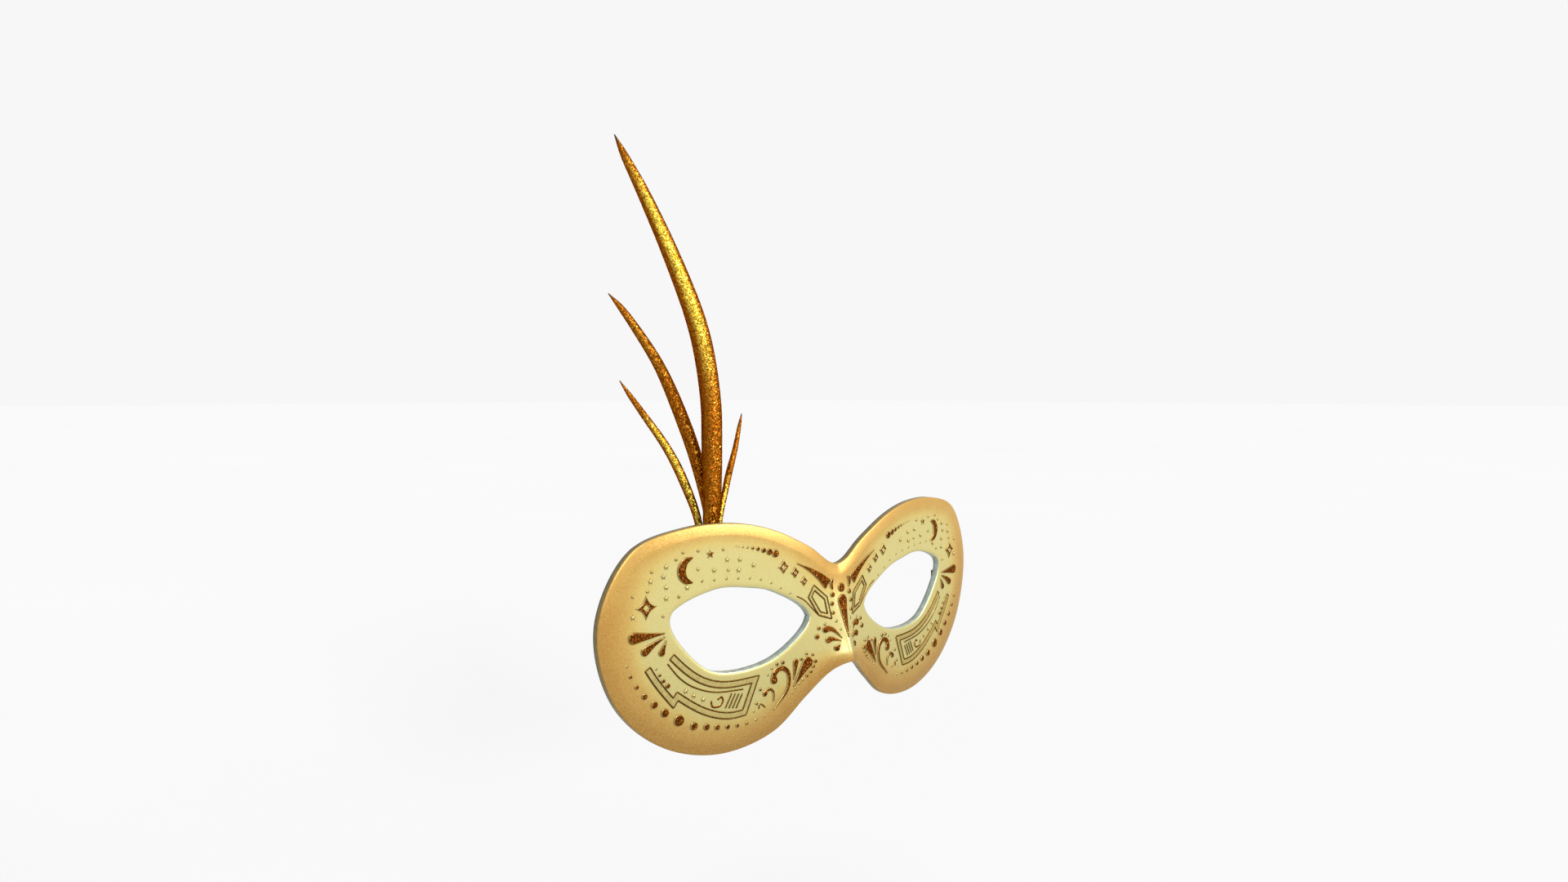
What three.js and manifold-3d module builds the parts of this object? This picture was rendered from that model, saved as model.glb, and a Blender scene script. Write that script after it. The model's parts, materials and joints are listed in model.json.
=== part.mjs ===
// Venetian masquerade mask: a moulded eye mask with raised ornaments, a felt lining and a foam
// nose pad, four horn-shaped plumes held in a block behind the wearer's right brow, and a
// ribbon ring that pivots in a strap tab behind each temple.
//
// Millimetres, +Z up. The mask faces -Y and the wearer's face is behind it, towards +Y.
// The wearer's right is -X. The origin is the middle of the nose pad's flat back face.

import * as THREE from 'three';
import { mergeVertices } from 'three/addons/utils/BufferGeometryUtils.js';
import ManifoldModule from 'manifold-3d';

const wasm = await ManifoldModule();
wasm.setup();

// ---------------------------------------------------------------- driving dimensions

// Half outline in the X-Z plane, from the notch over the nose to the notch under it.
const OUTLINE = [
  [0, 16.5], [14.5, 24.5], [30, 31.5], [45, 35], [64.5, 35], [83.5, 29], [94.5, 7.5],
  [89.5, -17], [73.5, -34], [51.5, -41.5], [29.5, -38.5], [16, -28.5], [6, -20.5], [0, -18],
];
const EYE_HOLE = [
  [14.5, -0.5], [29.5, 10], [41, 13], [54, 14], [70.5, 7], [58, -11], [47, -14.5], [28, -12],
];
const EYE_CENTRE = [44, 0];

// Front face: a shallow bend from side to side, with a ridge that stands out more and more down
// the nose.
const FRONT_Y = -7.75;
const SWEEP_SLOPE = 0.104;
const SWEEP_ROUNDING = 3.2;
const SWEEP_BEND = 0.0003;
const FACE_LEAN = -0.0104;
const RIDGE_SLOPE = 0.154;
const RIDGE_CURVE = 0.0042;
const RIDGE_TOP_Z = 8.3;
const RIDGE_ROUNDING = 1.3;
const RIDGE_REACH = 6.5;

const SHELL_THICKNESS = 2.9;
const RIM_WIDTH = 6;          // the front rolls back over this width along the outer edge
const RIM_DROP = 0.8;         // and by this much at the edge itself
const EYE_ROLL_WIDTH = 1.6;
const EYE_ROLL_DROP = 0.5;

const GAP = 0.3;              // glue line or clearance between neighbouring pieces
const LINING_THICKNESS = 0.8;
const LINING_RIM_MARGIN = 5.5;
const LINING_EYE_MARGIN = 2.5;

const PAD_HALF_WIDTH = 8;
const PAD_HALF_HEIGHT = 6;
const PAD_ROWS = 16;
const PAD_END_ANGLE = 0.05;   // the oval stops this far short of each end, in radians

const RELIEF_HEIGHT = 0.5;    // ornaments stand this far above their glue line
const BAND_HEIGHT = 0.35;
const LEAST_HALF_WIDTH = 0.12; // where an ornament runs out to a point

const TAB_X = 81;             // strap tab's loop, measured from the mirror plane
const TAB_Z = -2;
const TAB_LENGTH = 8.6;
const TAB_WIDTH = 9.6;
const TAB_THICKNESS = 0.9;
const LOOP_INNER_R = 1.15;
const LOOP_OUTER_R = 1.9;
const RING_WIRE_R = 0.8;
const RING_REACH = 7.4;       // from the pivot bar to the middle of the outer bar
const RING_HEIGHT = 12;
const RING_CORNER_R = 1.6;

const SCREW_SHANK_R = 0.7;
const SCREW_HOLE_R = SCREW_SHANK_R + GAP;
const SCREW_HEAD_R = 1.4;
const SCREW_CROWN_R = 0.85;   // flat top of the rounded head
const SCREW_HEAD_HEIGHT = 0.8;
const SCREW_POINT = 0.3;
const SCREW_BITE = 1.8;       // depth of thread in the shell
const SCREW_REACH = LINING_THICKNESS + GAP + SCREW_BITE;
const TAB_SCREW_X = 5.5;      // each tab's screws are this far from its pivot, towards the nose
const TAB_SCREW_Z = 2.6;      // and this far above and below its middle

const BLOCK_X = -48;
const BLOCK_BOTTOM_Z = 19.5;
const BLOCK_HEIGHT = 10.5;
const BLOCK_BASE_HALF_WIDTH = 13;
const BLOCK_BASE_THICKNESS = 2.2;
const BLOCK_BODY_HALF_WIDTH = 8;
const BLOCK_BODY_DEPTH = 12;
const BLOCK_CORNER_R = 3;
const BLOCK_SCREW_X = 10.6;
const PLUME_ROOT_Z = 22;

// Each plume: points of its centre line above the block, each with the plume's radius there.
const PLUMES = {
  plume_tall: [
    [-50, 6.5, PLUME_ROOT_Z, 2.4], [-49.5, 6.5, 33.5, 2.5], [-49, 6, 44, 3.1],
    [-49, 6, 60, 3.5], [-49.5, 6, 76, 3.5], [-52.5, 8, 98, 3.4], [-60, 11.5, 120.5, 2.9],
    [-69, 16, 142.5, 2.1], [-74.5, 18.5, 154, 1.25], [-77, 20, 160, 0.15],
  ],
  plume_middle: [
    [-45.5, 11, PLUME_ROOT_Z, 1.8], [-45.5, 11, 33.5, 1.9], [-50, 12.5, 54.5, 2.3],
    [-55.5, 14.5, 71, 2.3], [-61.5, 18, 87, 1.9], [-68.5, 21, 99, 1.5], [-72.5, 24, 106, 1.05],
    [-75.5, 26.5, 110.5, 0.15],
  ],
  plume_short: [
    [-50.5, 11.5, PLUME_ROOT_Z, 1.1], [-50.5, 11, 33, 1.3], [-57, 11.5, 49.5, 1.6],
    [-62, 13.5, 60, 1.45], [-69, 16.5, 71, 1.15], [-73.5, 18, 77.5, 0.8], [-76.5, 19, 82, 0.15],
  ],
  plume_inner: [
    [-45, 6.5, PLUME_ROOT_Z, 0.9], [-45.5, 6.5, 33, 0.9], [-40.5, 8, 48.5, 1.2],
    [-37, 8, 59, 0.95], [-34.5, 8.5, 67, 0.65], [-33.5, 8.5, 71, 0.15],
  ],
};

// Ornaments. Places are [x, z] on the wearer's left half; each is repeated, mirrored, on the right.

// Four-pointed stars with a square hole. A bend of 2 gives straight sides, and more hollows them.
const STARS = {
  sparkle: { at: [79, 11.5], reach: [3.6, 3.8], bend: 3.2, hole: 1.3 },
  diamond_large: { at: [26.5, 18.5], reach: [2.1, 2.3], bend: 2.5, hole: 1.1 },
  diamond_middle: { at: [21.5, 16], reach: [1.7, 1.9], bend: 2.5, hole: 0.85 },
  diamond_small: { at: [17.5, 12.5], reach: [1.5, 1.7], bend: 2.5, hole: 0.75 },
};

// Drops, from the far side of the round head to the tip.
const DROPS = {
  teardrop_large: { radius: 1.8, points: [[85, 2.5], [79, 2.5], [72.5, 2.5]] },
  teardrop_middle: { radius: 1.3, points: [[80.5, -3], [76.5, -0.5], [72.5, 1.3]] },
  teardrop_small: { radius: 1, points: [[74, -4.5], [73, -2], [72, 0]] },
  fan_drop_upper: { radius: 1.1, points: [[9.5, -6], [6, -6], [2.5, -9.5]] },
  fan_drop_middle: { radius: 1, points: [[8.5, -10], [6, -9.5], [3, -10.5]] },
  fan_drop_lower: { radius: 0.9, points: [[5.5, -13.5], [4.5, -12.5], [3.5, -11.5]] },
  scroll_drop_large: { radius: 1.9, points: [[15, -15], [18, -18.5], [22, -24]] },
  scroll_drop_small: { radius: 1, points: [[21, -14.5], [21.5, -18], [22, -21.5]] },
};

// Crescents along an arc, from one angle to another in degrees above the +X direction.
const CRESCENTS = {
  crescent: { centre: [62.5, 21.5], radius: 4.1, from: 90, to: -90, halfWidth: 1.4 },
  nose_crescent: { centre: [2, 9.5], radius: 2.8, from: 50, to: -38, halfWidth: 0.55 },
};

// Scrolls: a round ball at the start of the stroke, then a stroke that thins out to its tip.
const SCROLLS = {
  scroll_curl_large: {
    points: [[30, -21.5], [30.5, -18.5], [27.5, -16.5], [24.5, -18.5], [24.5, -24], [30.5, -30.5]],
    ball: 1.3, stroke: 0.9, spans: 16,
  },
  scroll_curl_small: {
    points: [[34.5, -25], [33.5, -23.5], [32, -23], [30.5, -24.5], [30.5, -27.5]],
    ball: 0.8, stroke: 0.5, spans: 12,
  },
};

const BROW_WING = { points: [[6.5, 10], [10, 13], [14.5, 16], [20.5, 19]], halfWidth: 1.9 };
const NOSE_FRAME = { corners: [[13, 10.5], [7, 5.5], [5.5, -2.5], [11, -0.5], [15.5, 6.5]], border: 1.3 };
// The band's runs are smooth and meet at sharp corners.
const CHEEK_BAND = {
  runs: [
    [[70, -5.5], [64.5, -11], [59, -15], [53, -17.5], [46.5, -18.5], [38, -18.5]],
    [[38, -18.5], [42.5, -29]],
    [[42.5, -29], [47.5, -29], [53.5, -27.5], [60.5, -24], [68, -18.5]],
    [[68, -18.5], [69.5, -20.5]],
    [[69.5, -20.5], [75, -13.5], [78.5, -8]],
  ],
  halfWidth: 1,
};
const RIM_DOT = { at: [67.5, -26.5], radius: 1.7 };
const CENTRE_DOT = { at: [0, 8], radius: 1.5 };
const NOSE_DROP = { points: [[0, 5.5], [0, -2], [0, -9.5]], radius: 2.2 };

// How the strokes' half widths fall off: 1 is an even taper, less stays full for longer, and more
// narrows sooner.
const DROP_TAPER = 0.85;
const DROP_WAIST = 0.3;       // a drop's tail is hollowed by this share
const SCROLL_TAPER = 0.65;
const CRESCENT_TAPER = 0.8;
const WING_TAPER = 1.25;

// How finely curves are divided.
const OUTLINE_SPANS = 64;     // half outline that the rolled rim is measured from
const SHELL_SPANS = 56;
const LINING_SPANS = 44;
const EYE_SPANS = 40;
const SHELL_MIRROR_SPANS = 10;
const LINING_MIRROR_SPANS = 8;
const ROUND_SIDES = 12;
const HORN_SPANS = 24;
const WIRE_SIDES = 8;
const WIRE_CORNER_SPANS = 3;
const STROKE_SPANS = 10;
const LOOP_SPANS = 16;
const STAR_POINTS = 16;
const DOT_ROWS = 8;
const SAME_PLACE = 1e-4;      // points closer than this are one point

// ---------------------------------------------------------------- finishes

function finish(color, roughness, metalness) {
  return new THREE.MeshStandardMaterial({ color, roughness, metalness });
}

const PEARL_GOLD = finish(0xd9c385, 0.35, 0.45);
const GLITTER_COPPER = finish(0x8c4a14, 0.55, 0.6);
const PEACH_GOLD = finish(0xd8b07a, 0.4, 0.4);
const PLUME_GOLD = finish(0xa86a1c, 0.45, 0.7);
const BLACK_FELT = finish(0x1d1b1f, 0.95, 0);
const GREY_FOAM = finish(0x4a474c, 0.9, 0);
const BLACK_NYLON = finish(0x26242a, 0.5, 0);
const BROWN_LEATHER = finish(0x4a2c1a, 0.7, 0);
const BRASS = finish(0xb9924a, 0.3, 1);

// ---------------------------------------------------------------- flat curves

// A smooth closed curve through the points, as a list of [x, z].
function smoothLoop(points, count) {
  const curve = new THREE.CatmullRomCurve3(points.map(([x, z]) => new THREE.Vector3(x, 0, z)), true);
  return curve.getSpacedPoints(count).slice(0, count).map((p) => [p.x, p.z]);
}

// The half outline as a smooth run from the top notch to the bottom notch.
function halfOutline(count) {
  const mirrored = OUTLINE.slice(1, -1).reverse().map(([x, z]) => [-x, z]);
  const loop = smoothLoop([...OUTLINE, ...mirrored], 2 * count);
  const half = loop.slice(0, count + 1);
  half[0][0] = 0;
  half[count][0] = 0;
  return half;
}

// Moves each point of an open or closed run sideways: positive is to the right of its direction.
function offsetRun(points, distance, closed) {
  const n = points.length;
  return points.map(([x, z], i) => {
    const before = closed ? points[(i + n - 1) % n] : points[Math.max(i - 1, 0)];
    const after = closed ? points[(i + 1) % n] : points[Math.min(i + 1, n - 1)];
    const dx = after[0] - before[0];
    const dz = after[1] - before[1];
    const length = Math.hypot(dx, dz);
    return [x + (dz / length) * distance, z - (dx / length) * distance];
  });
}

function distanceToRun(x, z, run, closed) {
  let best = Infinity;
  const last = closed ? run.length : run.length - 1;
  for (let i = 0; i < last; i += 1) {
    const [ax, az] = run[i];
    const [bx, bz] = run[(i + 1) % run.length];
    const ex = bx - ax;
    const ez = bz - az;
    const t = THREE.MathUtils.clamp(((x - ax) * ex + (z - az) * ez) / (ex * ex + ez * ez), 0, 1);
    best = Math.min(best, Math.hypot(x - ax - t * ex, z - az - t * ez));
  }
  return best;
}

// ---------------------------------------------------------------- the mask's faces

const RIM_RUN = halfOutline(OUTLINE_SPANS);
const EYE_RUN = smoothLoop(EYE_HOLE, EYE_SPANS);

// How far a rolled edge has dropped at a distance from the edge.
function roll(distance, width, drop) {
  const inside = Math.max(1 - distance / width, 0);
  return drop * (1 - Math.sqrt(Math.max(1 - inside * inside, 0)));
}

function facePlane(x, z) {
  const below = RIDGE_TOP_Z - z;
  const fade = Math.exp((RIDGE_ROUNDING - Math.hypot(x, RIDGE_ROUNDING)) / RIDGE_REACH);
  const ridge = (RIDGE_SLOPE * below + RIDGE_CURVE * below * below) * fade;
  const sweep = SWEEP_SLOPE * Math.hypot(x, SWEEP_ROUNDING) + SWEEP_BEND * x * x;
  return FRONT_Y + sweep + FACE_LEAN * z - ridge;
}

function frontY(x, z) {
  const side = Math.abs(x);
  return facePlane(x, z) + roll(distanceToRun(side, z, RIM_RUN, false), RIM_WIDTH, RIM_DROP)
    + roll(distanceToRun(side, z, EYE_RUN, true), EYE_ROLL_WIDTH, EYE_ROLL_DROP);
}

const backY = (x, z) => facePlane(x, z) + SHELL_THICKNESS;
const liningFrontY = (x, z) => backY(x, z) + GAP;
const liningBackY = (x, z) => liningFrontY(x, z) + LINING_THICKNESS;

// ---------------------------------------------------------------- solids

function signedVolume(positions, indices) {
  const [a, b, c] = [new THREE.Vector3(), new THREE.Vector3(), new THREE.Vector3()];
  let volume = 0;
  for (let i = 0; i < indices.length; i += 3) {
    a.fromArray(positions, 3 * indices[i]);
    b.fromArray(positions, 3 * indices[i + 1]);
    c.fromArray(positions, 3 * indices[i + 2]);
    volume += a.dot(b.cross(c)) / 6;
  }
  return volume;
}

// A geometry from positions and triangles, with its faces turned outwards.
function solid(positions, indices) {
  if (signedVolume(positions, indices) < 0) {
    for (let i = 0; i < indices.length; i += 3) {
      [indices[i + 1], indices[i + 2]] = [indices[i + 2], indices[i + 1]];
    }
  }
  const geometry = new THREE.BufferGeometry();
  geometry.setAttribute('position', new THREE.Float32BufferAttribute(positions, 3));
  geometry.setIndex(indices);
  return mergeVertices(geometry, SAME_PLACE);
}

// A slab over a grid of [x, z] points, between two heights in Y. The grid's rows are runs from
// one long edge to the other. An edge that lies on the mirror plane gets no wall.
function slabParts(grid, closed, lowY, highY) {
  const columns = grid[0].length;
  const positions = [];
  const indices = [];
  for (const [x, z] of grid.flat()) {
    positions.push(x, lowY(x, z), z, x, highY(x, z), z);
  }
  const at = (i, j, level) => 2 * ((i % grid.length) * columns + j) + level;
  const quad = (a, b, c, d) => indices.push(a, b, c, a, c, d);
  const onMirror = (i, j) => Math.abs(grid[i % grid.length][j][0]) < SAME_PLACE;
  const spans = closed ? grid.length : grid.length - 1;
  for (let i = 0; i < spans; i += 1) {
    for (let j = 0; j < columns - 1; j += 1) {
      quad(at(i, j, 0), at(i + 1, j, 0), at(i + 1, j + 1, 0), at(i, j + 1, 0));
      quad(at(i, j, 1), at(i, j + 1, 1), at(i + 1, j + 1, 1), at(i + 1, j, 1));
    }
    if (!closed || !(onMirror(i, 0) && onMirror(i + 1, 0))) {
      quad(at(i, 0, 0), at(i, 0, 1), at(i + 1, 0, 1), at(i + 1, 0, 0));
    }
    const end = columns - 1;
    quad(at(i, end, 0), at(i + 1, end, 0), at(i + 1, end, 1), at(i, end, 1));
  }
  if (!closed) {
    const end = grid.length - 1;
    for (let j = 0; j < columns - 1; j += 1) {
      quad(at(0, j, 0), at(0, j + 1, 0), at(0, j + 1, 1), at(0, j, 1));
      quad(at(end, j, 0), at(end, j, 1), at(end, j + 1, 1), at(end, j + 1, 0));
    }
  }
  return { positions, indices };
}

function slab(grid, closed, lowY, highY) {
  const { positions, indices } = slabParts(grid, closed, lowY, highY);
  return solid(positions, indices);
}

// A full-width slab from the grid of its +X half.
function mirroredSlab(grid, lowY, highY) {
  const { positions, indices } = slabParts(grid, true, lowY, highY);
  const count = positions.length / 3;
  const mirroredPositions = positions.map((value, i) => (i % 3 === 0 ? -value : value));
  const mirroredIndices = [];
  for (let i = 0; i < indices.length; i += 3) {
    mirroredIndices.push(indices[i] + count, indices[i + 2] + count, indices[i + 1] + count);
  }
  return solid([...positions, ...mirroredPositions], [...indices, ...mirroredIndices]);
}

function asManifold(geometry) {
  const bare = geometry.clone();
  bare.deleteAttribute('normal');
  bare.deleteAttribute('uv');
  const merged = mergeVertices(bare, SAME_PLACE);
  const vertProperties = new Float32Array(merged.attributes.position.array);
  const triVerts = new Uint32Array(merged.index.array);
  return new wasm.Manifold(new wasm.Mesh({ numProp: 3, vertProperties, triVerts }));
}

function cut(geometry, cutters) {
  let body = asManifold(geometry);
  for (const cutter of cutters) {
    body = body.subtract(asManifold(cutter));
  }
  const { vertProperties, triVerts } = body.getMesh();
  const result = new THREE.BufferGeometry();
  result.setAttribute('position', new THREE.BufferAttribute(new Float32Array(vertProperties), 3));
  result.setIndex(new THREE.BufferAttribute(new Uint32Array(triVerts), 1));
  return result;
}

// ---------------------------------------------------------------- assembly helpers

const mask = new THREE.Group();

function addPiece(name, geometry, material, parent = mask) {
  const mesh = new THREE.Mesh(geometry, material);
  mesh.name = name;
  parent.add(mesh);
  return mesh;
}

const SIDES = { right: -1, left: 1 };
const sideways = (points, side) => points.map(([x, z]) => [x * side, z]);

// A frame on the lining's back face: its X runs outwards along the face and its Y backwards.
function backFrame(x, z) {
  const step = 0.5;
  const frame = new THREE.Group();
  frame.position.set(x, liningBackY(x, z), z);
  frame.rotation.z = Math.atan((liningBackY(x + step, z) - liningBackY(x - step, z)) / (2 * step));
  mask.add(frame);
  frame.updateMatrixWorld();
  return frame;
}

// ---------------------------------------------------------------- shell and lining

// Rows of a half: each runs straight from the outer edge to the eye hole, and their points lie at
// the rim's distances first, then evenly, then close together at the eye hole's rolled edge.
function halfGrid(outerRun, eyeRun, rimSteps, innerShares) {
  const [cx, cz] = EYE_CENTRE;
  const crossing = (dx, dz) => {
    for (let i = 0; i < eyeRun.length; i += 1) {
      const [ax, az] = eyeRun[i];
      const [bx, bz] = eyeRun[(i + 1) % eyeRun.length];
      const det = dx * (az - bz) - dz * (ax - bx);
      const reach = ((ax - cx) * (az - bz) - (az - cz) * (ax - bx)) / det;
      const along = (dx * (az - cz) - dz * (ax - cx)) / det;
      if (reach > 0 && along >= 0 && along < 1) {
        return reach;
      }
    }
    throw new Error('the eye hole does not enclose its centre');
  };
  return outerRun.map(([x, z]) => {
    const length = Math.hypot(x - cx, z - cz);
    const [dx, dz] = [(x - cx) / length, (z - cz) / length];
    const eyeReach = crossing(dx, dz);
    const rimReach = length - rimSteps[rimSteps.length - 1];
    const reaches = rimSteps.map((step) => length - step);
    reaches.push(...innerShares.map((share) => rimReach + (eyeReach - rimReach) * share));
    return reaches.map((reach, j) => (j === 0 ? [x, z] : [cx + dx * reach, cz + dz * reach]));
  });
}

// The half outline closed by evenly spaced points on the mirror plane.
function closedHalf(run, mirrorCount) {
  const [top, bottom] = [run[0][1], run[run.length - 1][1]];
  const mirror = [];
  for (let i = 1; i < mirrorCount; i += 1) {
    mirror.push([0, bottom + ((top - bottom) * i) / mirrorCount]);
  }
  return [...run, ...mirror];
}

// A screw's clearance hole between two heights.
function screwHole([x, z], lowY, highY) {
  const hole = new THREE.CylinderGeometry(SCREW_HOLE_R, SCREW_HOLE_R, highY - lowY, ROUND_SIDES);
  return hole.translate(x, (lowY + highY) / 2, z);
}

const tabFrames = {};
for (const [name, side] of Object.entries(SIDES)) {
  tabFrames[name] = backFrame(side * TAB_X, TAB_Z);
}
const blockFrame = backFrame(BLOCK_X, BLOCK_BOTTOM_Z + BLOCK_HEIGHT / 2);
const blockScrewSpots = [[-BLOCK_SCREW_X, 0], [BLOCK_SCREW_X, 0]];
const tabScrewSpots = (side) => [TAB_SCREW_Z, -TAB_SCREW_Z].map((z) => [-side * TAB_SCREW_X, z]);

// The holes that the screws need in the lining and the shell, already in place.
function holesBehind(frame, spots) {
  return spots.map((spot) => screwHole(spot, -SCREW_REACH - GAP, GAP).applyMatrix4(frame.matrixWorld));
}
const allScrewHoles = [
  ...holesBehind(blockFrame, blockScrewSpots),
  ...holesBehind(tabFrames.right, tabScrewSpots(SIDES.right)),
  ...holesBehind(tabFrames.left, tabScrewSpots(SIDES.left)),
];

const shellRimSteps = [0, 0.35, 1.3, 3, RIM_WIDTH];
const shellShares = [0.34, 0.68, 0.93, 1];
const shellOutline = closedHalf(halfOutline(SHELL_SPANS), SHELL_MIRROR_SPANS);
const shellGrid = halfGrid(shellOutline, EYE_RUN, shellRimSteps, shellShares);
const shell = cut(mirroredSlab(shellGrid, frontY, backY), allScrewHoles);
addPiece('mask_shell', shell, PEARL_GOLD);

const liningRun = offsetRun(halfOutline(LINING_SPANS), LINING_RIM_MARGIN, false);
liningRun[0][0] = 0;
liningRun[liningRun.length - 1][0] = 0;
const liningEye = offsetRun(EYE_RUN, -LINING_EYE_MARGIN, true);
const liningOutline = closedHalf(liningRun, LINING_MIRROR_SPANS);
const liningGrid = halfGrid(liningOutline, liningEye, [0], [0.3, 0.65, 1]);
const lining = cut(mirroredSlab(liningGrid, liningFrontY, liningBackY), allScrewHoles);
addPiece('felt_lining', lining, BLACK_FELT);

// ---------------------------------------------------------------- nose pad

// A foam pad with an oval outline: its front follows the lining and its back is flat.
const padGrid = [];
for (let i = 0; i <= PAD_ROWS; i += 1) {
  const angle = THREE.MathUtils.lerp(PAD_END_ANGLE, Math.PI - PAD_END_ANGLE, i / PAD_ROWS);
  const x = -PAD_HALF_WIDTH * Math.cos(angle);
  const reach = PAD_HALF_HEIGHT * Math.sqrt(Math.sin(angle));
  padGrid.push([-1, -0.5, 0, 0.5, 1].map((share) => [x, share * reach]));
}
addPiece('nose_pad', slab(padGrid, false, (x, z) => liningBackY(x, z) + GAP, () => 0), GREY_FOAM);

// ---------------------------------------------------------------- screws

// A pan-head screw whose head rests on a face at the given height behind the lining.
function screw(name, frame, [x, z], seatY) {
  const topY = seatY + SCREW_HEAD_HEIGHT;
  const profile = [
    [0, -SCREW_REACH],
    [SCREW_SHANK_R, -SCREW_REACH + SCREW_POINT],
    [SCREW_SHANK_R, seatY],
    [SCREW_HEAD_R, seatY],
    [SCREW_HEAD_R, seatY + SCREW_HEAD_HEIGHT / 2],
    [SCREW_CROWN_R, topY],
    [0, topY],
  ].map(([r, y]) => new THREE.Vector2(r, y));
  addPiece(name, new THREE.LatheGeometry(profile, ROUND_SIDES), BRASS, frame).position.set(x, 0, z);
}

// ---------------------------------------------------------------- ribbon tabs and rings

// A leather strap, seen from above, that turns round the ring's pivot bar.
function tabGeometry(side) {
  const low = GAP;
  const high = GAP + TAB_THICKNESS;
  const centreY = GAP + LOOP_OUTER_R;
  const meet = Math.asin((high - centreY) / LOOP_OUTER_R);
  const outline = [[-TAB_LENGTH, low]];
  for (let i = 0; i <= LOOP_SPANS; i += 1) {
    const angle = THREE.MathUtils.lerp(-Math.PI / 2, Math.PI - meet, i / LOOP_SPANS);
    outline.push([LOOP_OUTER_R * Math.cos(angle), centreY + LOOP_OUTER_R * Math.sin(angle)]);
  }
  outline.push([-TAB_LENGTH, high]);
  const shape = new THREE.Shape(outline.map(([x, y]) => new THREE.Vector2(x * side, y)));
  const bore = new THREE.Path();
  bore.absarc(0, centreY, LOOP_INNER_R, 0, 2 * Math.PI, false);
  shape.holes.push(bore);
  const options = { depth: TAB_WIDTH, bevelEnabled: false, curveSegments: 8 };
  return new THREE.ExtrudeGeometry(shape, options).translate(0, 0, -TAB_WIDTH / 2);
}

// A closed wire bent to a rounded rectangle in the X-Z plane, with its pivot bar on the Z axis.
function ringGeometry(side) {
  const bend = { x: RING_REACH / 2 - RING_CORNER_R, z: RING_HEIGHT / 2 - RING_CORNER_R };
  const corners = [[1, 1], [-1, 1], [-1, -1], [1, -1]];
  const stations = [];
  corners.forEach(([signX, signZ], corner) => {
    for (let i = 0; i <= WIRE_CORNER_SPANS; i += 1) {
      const angle = (Math.PI / 2) * (corner + i / WIRE_CORNER_SPANS);
      const out = [Math.cos(angle), Math.sin(angle)];
      const x = RING_REACH / 2 + signX * bend.x + RING_CORNER_R * out[0];
      const z = signZ * bend.z + RING_CORNER_R * out[1];
      stations.push({ x, z, out });
    }
  });
  const positions = [];
  const indices = [];
  stations.forEach(({ x, z, out }, i) => {
    const next = (i + 1) % stations.length;
    for (let k = 0; k < WIRE_SIDES; k += 1) {
      const turn = (2 * Math.PI * k) / WIRE_SIDES;
      const across = RING_WIRE_R * Math.cos(turn);
      const depth = RING_WIRE_R * Math.sin(turn);
      positions.push(side * (x + out[0] * across), depth, z + out[1] * across);
      const beside = (k + 1) % WIRE_SIDES;
      const [a, b] = [i * WIRE_SIDES + k, i * WIRE_SIDES + beside];
      const [c, d] = [next * WIRE_SIDES + k, next * WIRE_SIDES + beside];
      indices.push(a, b, d, a, d, c);
    }
  });
  return solid(positions, indices);
}

for (const [name, side] of Object.entries(SIDES)) {
  const frame = tabFrames[name];
  const spots = tabScrewSpots(side);
  const backOfTab = GAP + TAB_THICKNESS + GAP;
  const holes = spots.map((spot) => screwHole(spot, 0, backOfTab));
  addPiece(`tie_tab_${name}`, cut(tabGeometry(side), holes), BROWN_LEATHER, frame);
  addPiece(`tie_ring_${name}`, ringGeometry(side), BRASS, frame).position.y = GAP + LOOP_OUTER_R;
  screw(`tie_screw_${name}_upper`, frame, spots[0], backOfTab);
  screw(`tie_screw_${name}_lower`, frame, spots[1], backOfTab);
}

// ---------------------------------------------------------------- plumes and their block

function smoothPath(points) {
  return new THREE.CatmullRomCurve3(points, false, 'centripetal');
}

// A round horn along a smooth centre line, with a flat root and a blunt tip.
function horn(stations, extraRadius = 0) {
  const curve = smoothPath(stations.map(([x, y, z]) => new THREE.Vector3(x, y, z)));
  const radii = smoothPath(stations.map((station, i) => new THREE.Vector3(i, station[3], 0)));
  const positions = [];
  const indices = [];
  for (let i = 0; i <= HORN_SPANS; i += 1) {
    const t = i / HORN_SPANS;
    const centre = curve.getPoint(t);
    const along = curve.getTangent(t);
    const across = new THREE.Vector3(1, 0, 0).addScaledVector(along, -along.x).normalize();
    const up = along.clone().cross(across);
    const radius = radii.getPoint(t).y + extraRadius;
    for (let k = 0; k < ROUND_SIDES; k += 1) {
      const turn = (2 * Math.PI * k) / ROUND_SIDES;
      const point = centre.clone().addScaledVector(across, radius * Math.cos(turn));
      point.addScaledVector(up, radius * Math.sin(turn));
      positions.push(point.x, point.y, point.z);
    }
  }
  for (let i = 0; i < HORN_SPANS; i += 1) {
    for (let k = 0; k < ROUND_SIDES; k += 1) {
      const [a, b] = [i * ROUND_SIDES + k, i * ROUND_SIDES + ((k + 1) % ROUND_SIDES)];
      indices.push(a, b, b + ROUND_SIDES, a, b + ROUND_SIDES, a + ROUND_SIDES);
    }
  }
  const tip = HORN_SPANS * ROUND_SIDES;
  for (let k = 1; k < ROUND_SIDES - 1; k += 1) {
    indices.push(0, k + 1, k, tip, tip + k, tip + k + 1);
  }
  return solid(positions, indices);
}

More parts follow.
